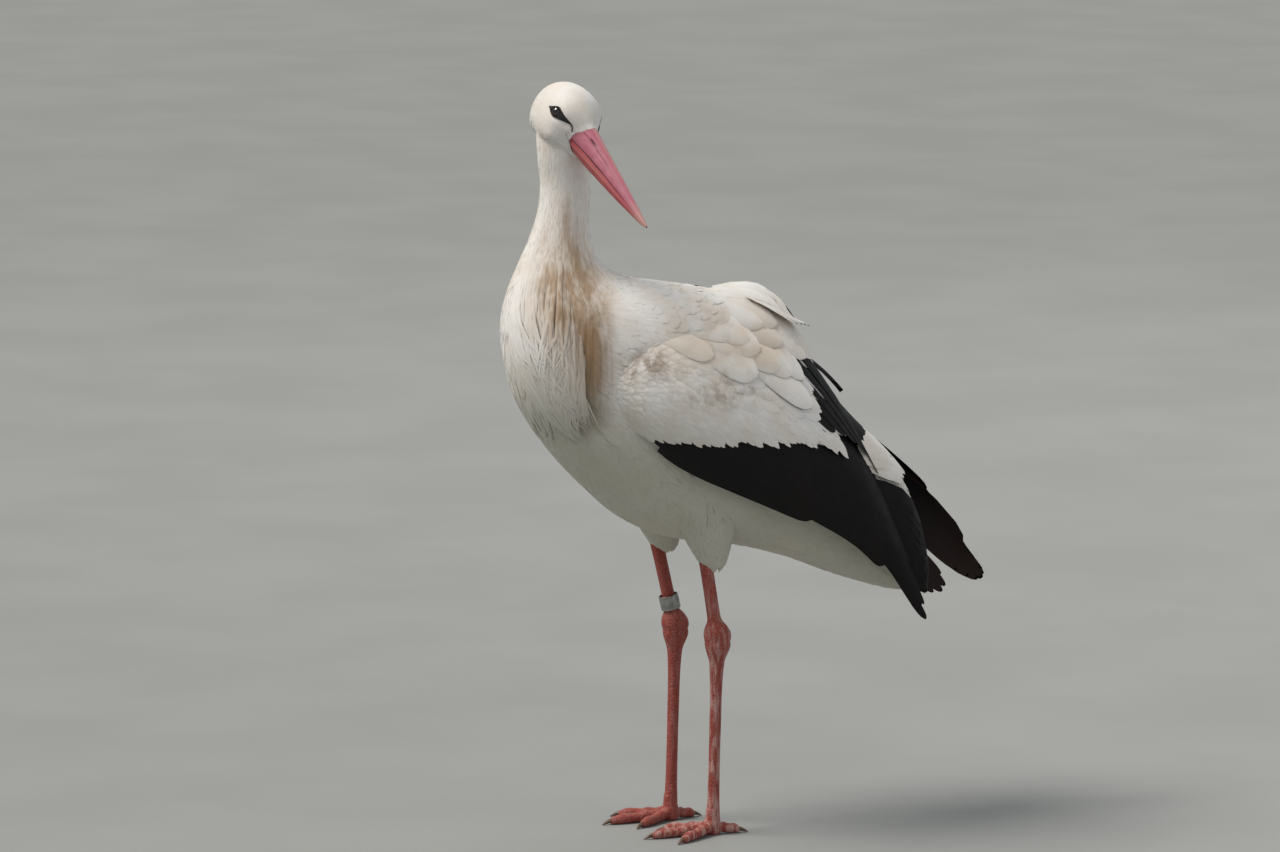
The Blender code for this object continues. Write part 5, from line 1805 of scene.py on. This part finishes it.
class STORK_OT_claws(Operator):
    """Short blunt claws: a tapering tube that sinks to the ground ahead of each toe"""
    bl_idname = "stork.claws"
    bl_label = "Claws"

    def execute(self, context):
        for side in WINGS:
            for toe_name, (spread_angle, toe) in TOES.items():
                path, radii, heading = toe_line(side, spread_angle, toe, 36)
                share, size = even_rows(CLAW_ROWS, 24).T
                radii = TOE_RADIUS * size * np.sqrt(np.clip((1.02 - share) / 0.12, 0, 1))
                line = path[-1] + heading * (-1.2 + (CLAW_LENGTH + 1.2) * share)[:, None]
                line[:, 2] = TOE_RADIUS * size + CLAW_RISE * (1 - share)
                claw = add_mesh("claw_horn_%s_%s" % (side, toe_name),
                                *closed_tube(above_ground(tube_rings(line, radii, 20, heading))))
                finish_piece(claw, shared(claw_horn), ("claw_%s_%s" % (side, toe_name),))
        return DONE


class STORK_OT_leg_ring(Operator):
    """Plain blank metal ring round the right shin, its edges rounded"""
    bl_idname = "stork.leg_ring"
    bl_label = "Leg ring"

    def execute(self, context):
        base, lean = shin_line("right")
        corner = np.linspace(0, np.pi / 2, 6)
        round_off = 0.45
        inner, outer = RING_OUTER - RING_WALL, RING_OUTER
        ends = ((outer, 0.0, -1), (outer, RING_HEIGHT, 0), (inner, RING_HEIGHT, 1), (inner, 0.0, 2))
        profile = np.concatenate([
            stacked(r - round_off * np.sign(r - inner - 0.1) + round_off * np.cos(corner + turn * np.pi / 2),
                    z + round_off * (1 if z == 0 else -1) + round_off * np.sin(corner + turn * np.pi / 2))
            for r, z, turn in ends])
        turn = round_turn(96)
        side = unit(np.cross(lean, (0, 1, 0)))
        up = np.cross(side, lean)
        around = side[None] * np.cos(turn)[:, None] + up[None] * np.sin(turn)[:, None]
        loops = (base + lean * RING_PLACE + around[:, None] * profile[None, :, :1]
                 + lean * profile[None, :, 1:])
        ring = add_mesh("ring", *closed_ring(loops))
        finish_piece(ring, shared(ring_metal), ("leg_ring",))
        return DONE


# ----------------------------------------------------------------------- stage
class STORK_OT_stage(Operator):
    """Pale floor, soft studio light and the camera"""
    bl_idname = "stork.stage"
    bl_label = "Stage"

    def execute(self, context):
        scene, settings = context.scene, context.scene.stork_stage
        mesh = bpy.data.meshes.new("floor")
        corners = [(x * FLOOR_REACH, y * FLOOR_REACH, 0) for x, y in ((-1, -1), (1, -1), (1, 1), (-1, 1))]
        mesh.from_pydata(corners, [], [(0, 1, 2, 3)])
        mesh.materials.append(studio_floor())
        floor = bpy.data.objects.new("floor", mesh)
        scene.collection.objects.link(floor)

        scene.world = bpy.data.worlds.new("studio")
        scene.world.use_nodes = True
        sky = scene.world.node_tree.nodes["Background"].inputs
        sky["Color"].default_value, sky["Strength"].default_value = linear("#E4E8EC"), settings.sky

        target = Vector(AIM) + Vector(MIDDLE)
        for name, place in LAMPS.items():
            light = bpy.data.lights.new(name, "SUN" if name == "key" else "AREA")
            if name == "key":
                light.energy, light.angle, light.color = settings.key, np.radians(28), linear("#FFF9F1")[:3]
            else:
                light.energy, light.size = settings.fill, SOFT_LAMP
            lamp = bpy.data.objects.new(name, light)
            lamp.location = place
            lamp.rotation_euler = (target - lamp.location).to_track_quat("-Z", "Y").to_euler()
            scene.collection.objects.link(lamp)

        azimuth, height = np.radians((settings.azimuth, settings.elevation))
        level = np.cos(height)
        away = Vector((np.sin(azimuth) * level, -np.cos(azimuth) * level, np.sin(height)))
        lens = bpy.data.cameras.new("camera")
        lens.lens, lens.sensor_width, lens.clip_end = settings.lens, 36.0, 200.0
        camera = bpy.data.objects.new("camera", lens)
        camera.location = target + away * settings.distance
        camera.rotation_euler = (-away).to_track_quat("-Z", "Y").to_euler()
        scene.collection.objects.link(camera)
        scene.camera = camera
        scene.view_settings.view_transform = "Standard"
        return DONE


class STORK_PT_panel(Panel):
    """Lists the stork's pieces and their settings"""
    bl_idname = "STORK_PT_panel"
    bl_label = "White stork"
    bl_space_type = "VIEW_3D"
    bl_region_type = "UI"
    bl_category = "Stork"

    def draw(self, context):
        for group in SETTINGS:
            box = self.layout.box()
            for name in group.__annotations__:
                box.prop(getattr(context.scene, SETTINGS[group]), name)
        for piece in PIECES:
            self.layout.operator(piece.bl_idname)


SETTINGS = {StorkCoat: "stork_coat", StorkHead: "stork_head", StorkLegs: "stork_legs",
            StorkColours: "stork_colours", StorkStage: "stork_stage"}
PIECES = (STORK_OT_skin, STORK_OT_head_feathers, STORK_OT_bill, STORK_OT_eyes, STORK_OT_neck_feathers,
          STORK_OT_plumes, STORK_OT_breast_feathers, STORK_OT_shoulder_feathers, STORK_OT_back_feathers,
          STORK_OT_thigh_feathers, STORK_OT_coverts, STORK_OT_scapulars, STORK_OT_flight_feathers,
          STORK_OT_tail, STORK_OT_legs, STORK_OT_claws, STORK_OT_leg_ring, STORK_OT_stage)


def register():
    for group, name in SETTINGS.items():
        bpy.utils.register_class(group)
        setattr(bpy.types.Scene, name, PointerProperty(type=group))
    for piece in PIECES + (STORK_PT_panel,):
        bpy.utils.register_class(piece)


def unregister():
    for piece in reversed(PIECES + (STORK_PT_panel,)):
        bpy.utils.unregister_class(piece)
    for group, name in SETTINGS.items():
        delattr(bpy.types.Scene, name)
        bpy.utils.unregister_class(group)


def main():
    register()
    for piece in PIECES:
        getattr(bpy.ops.stork, piece.bl_idname.partition(".")[2])()
    bpy.context.view_layer.update()


if __name__ == "__main__":
    main()
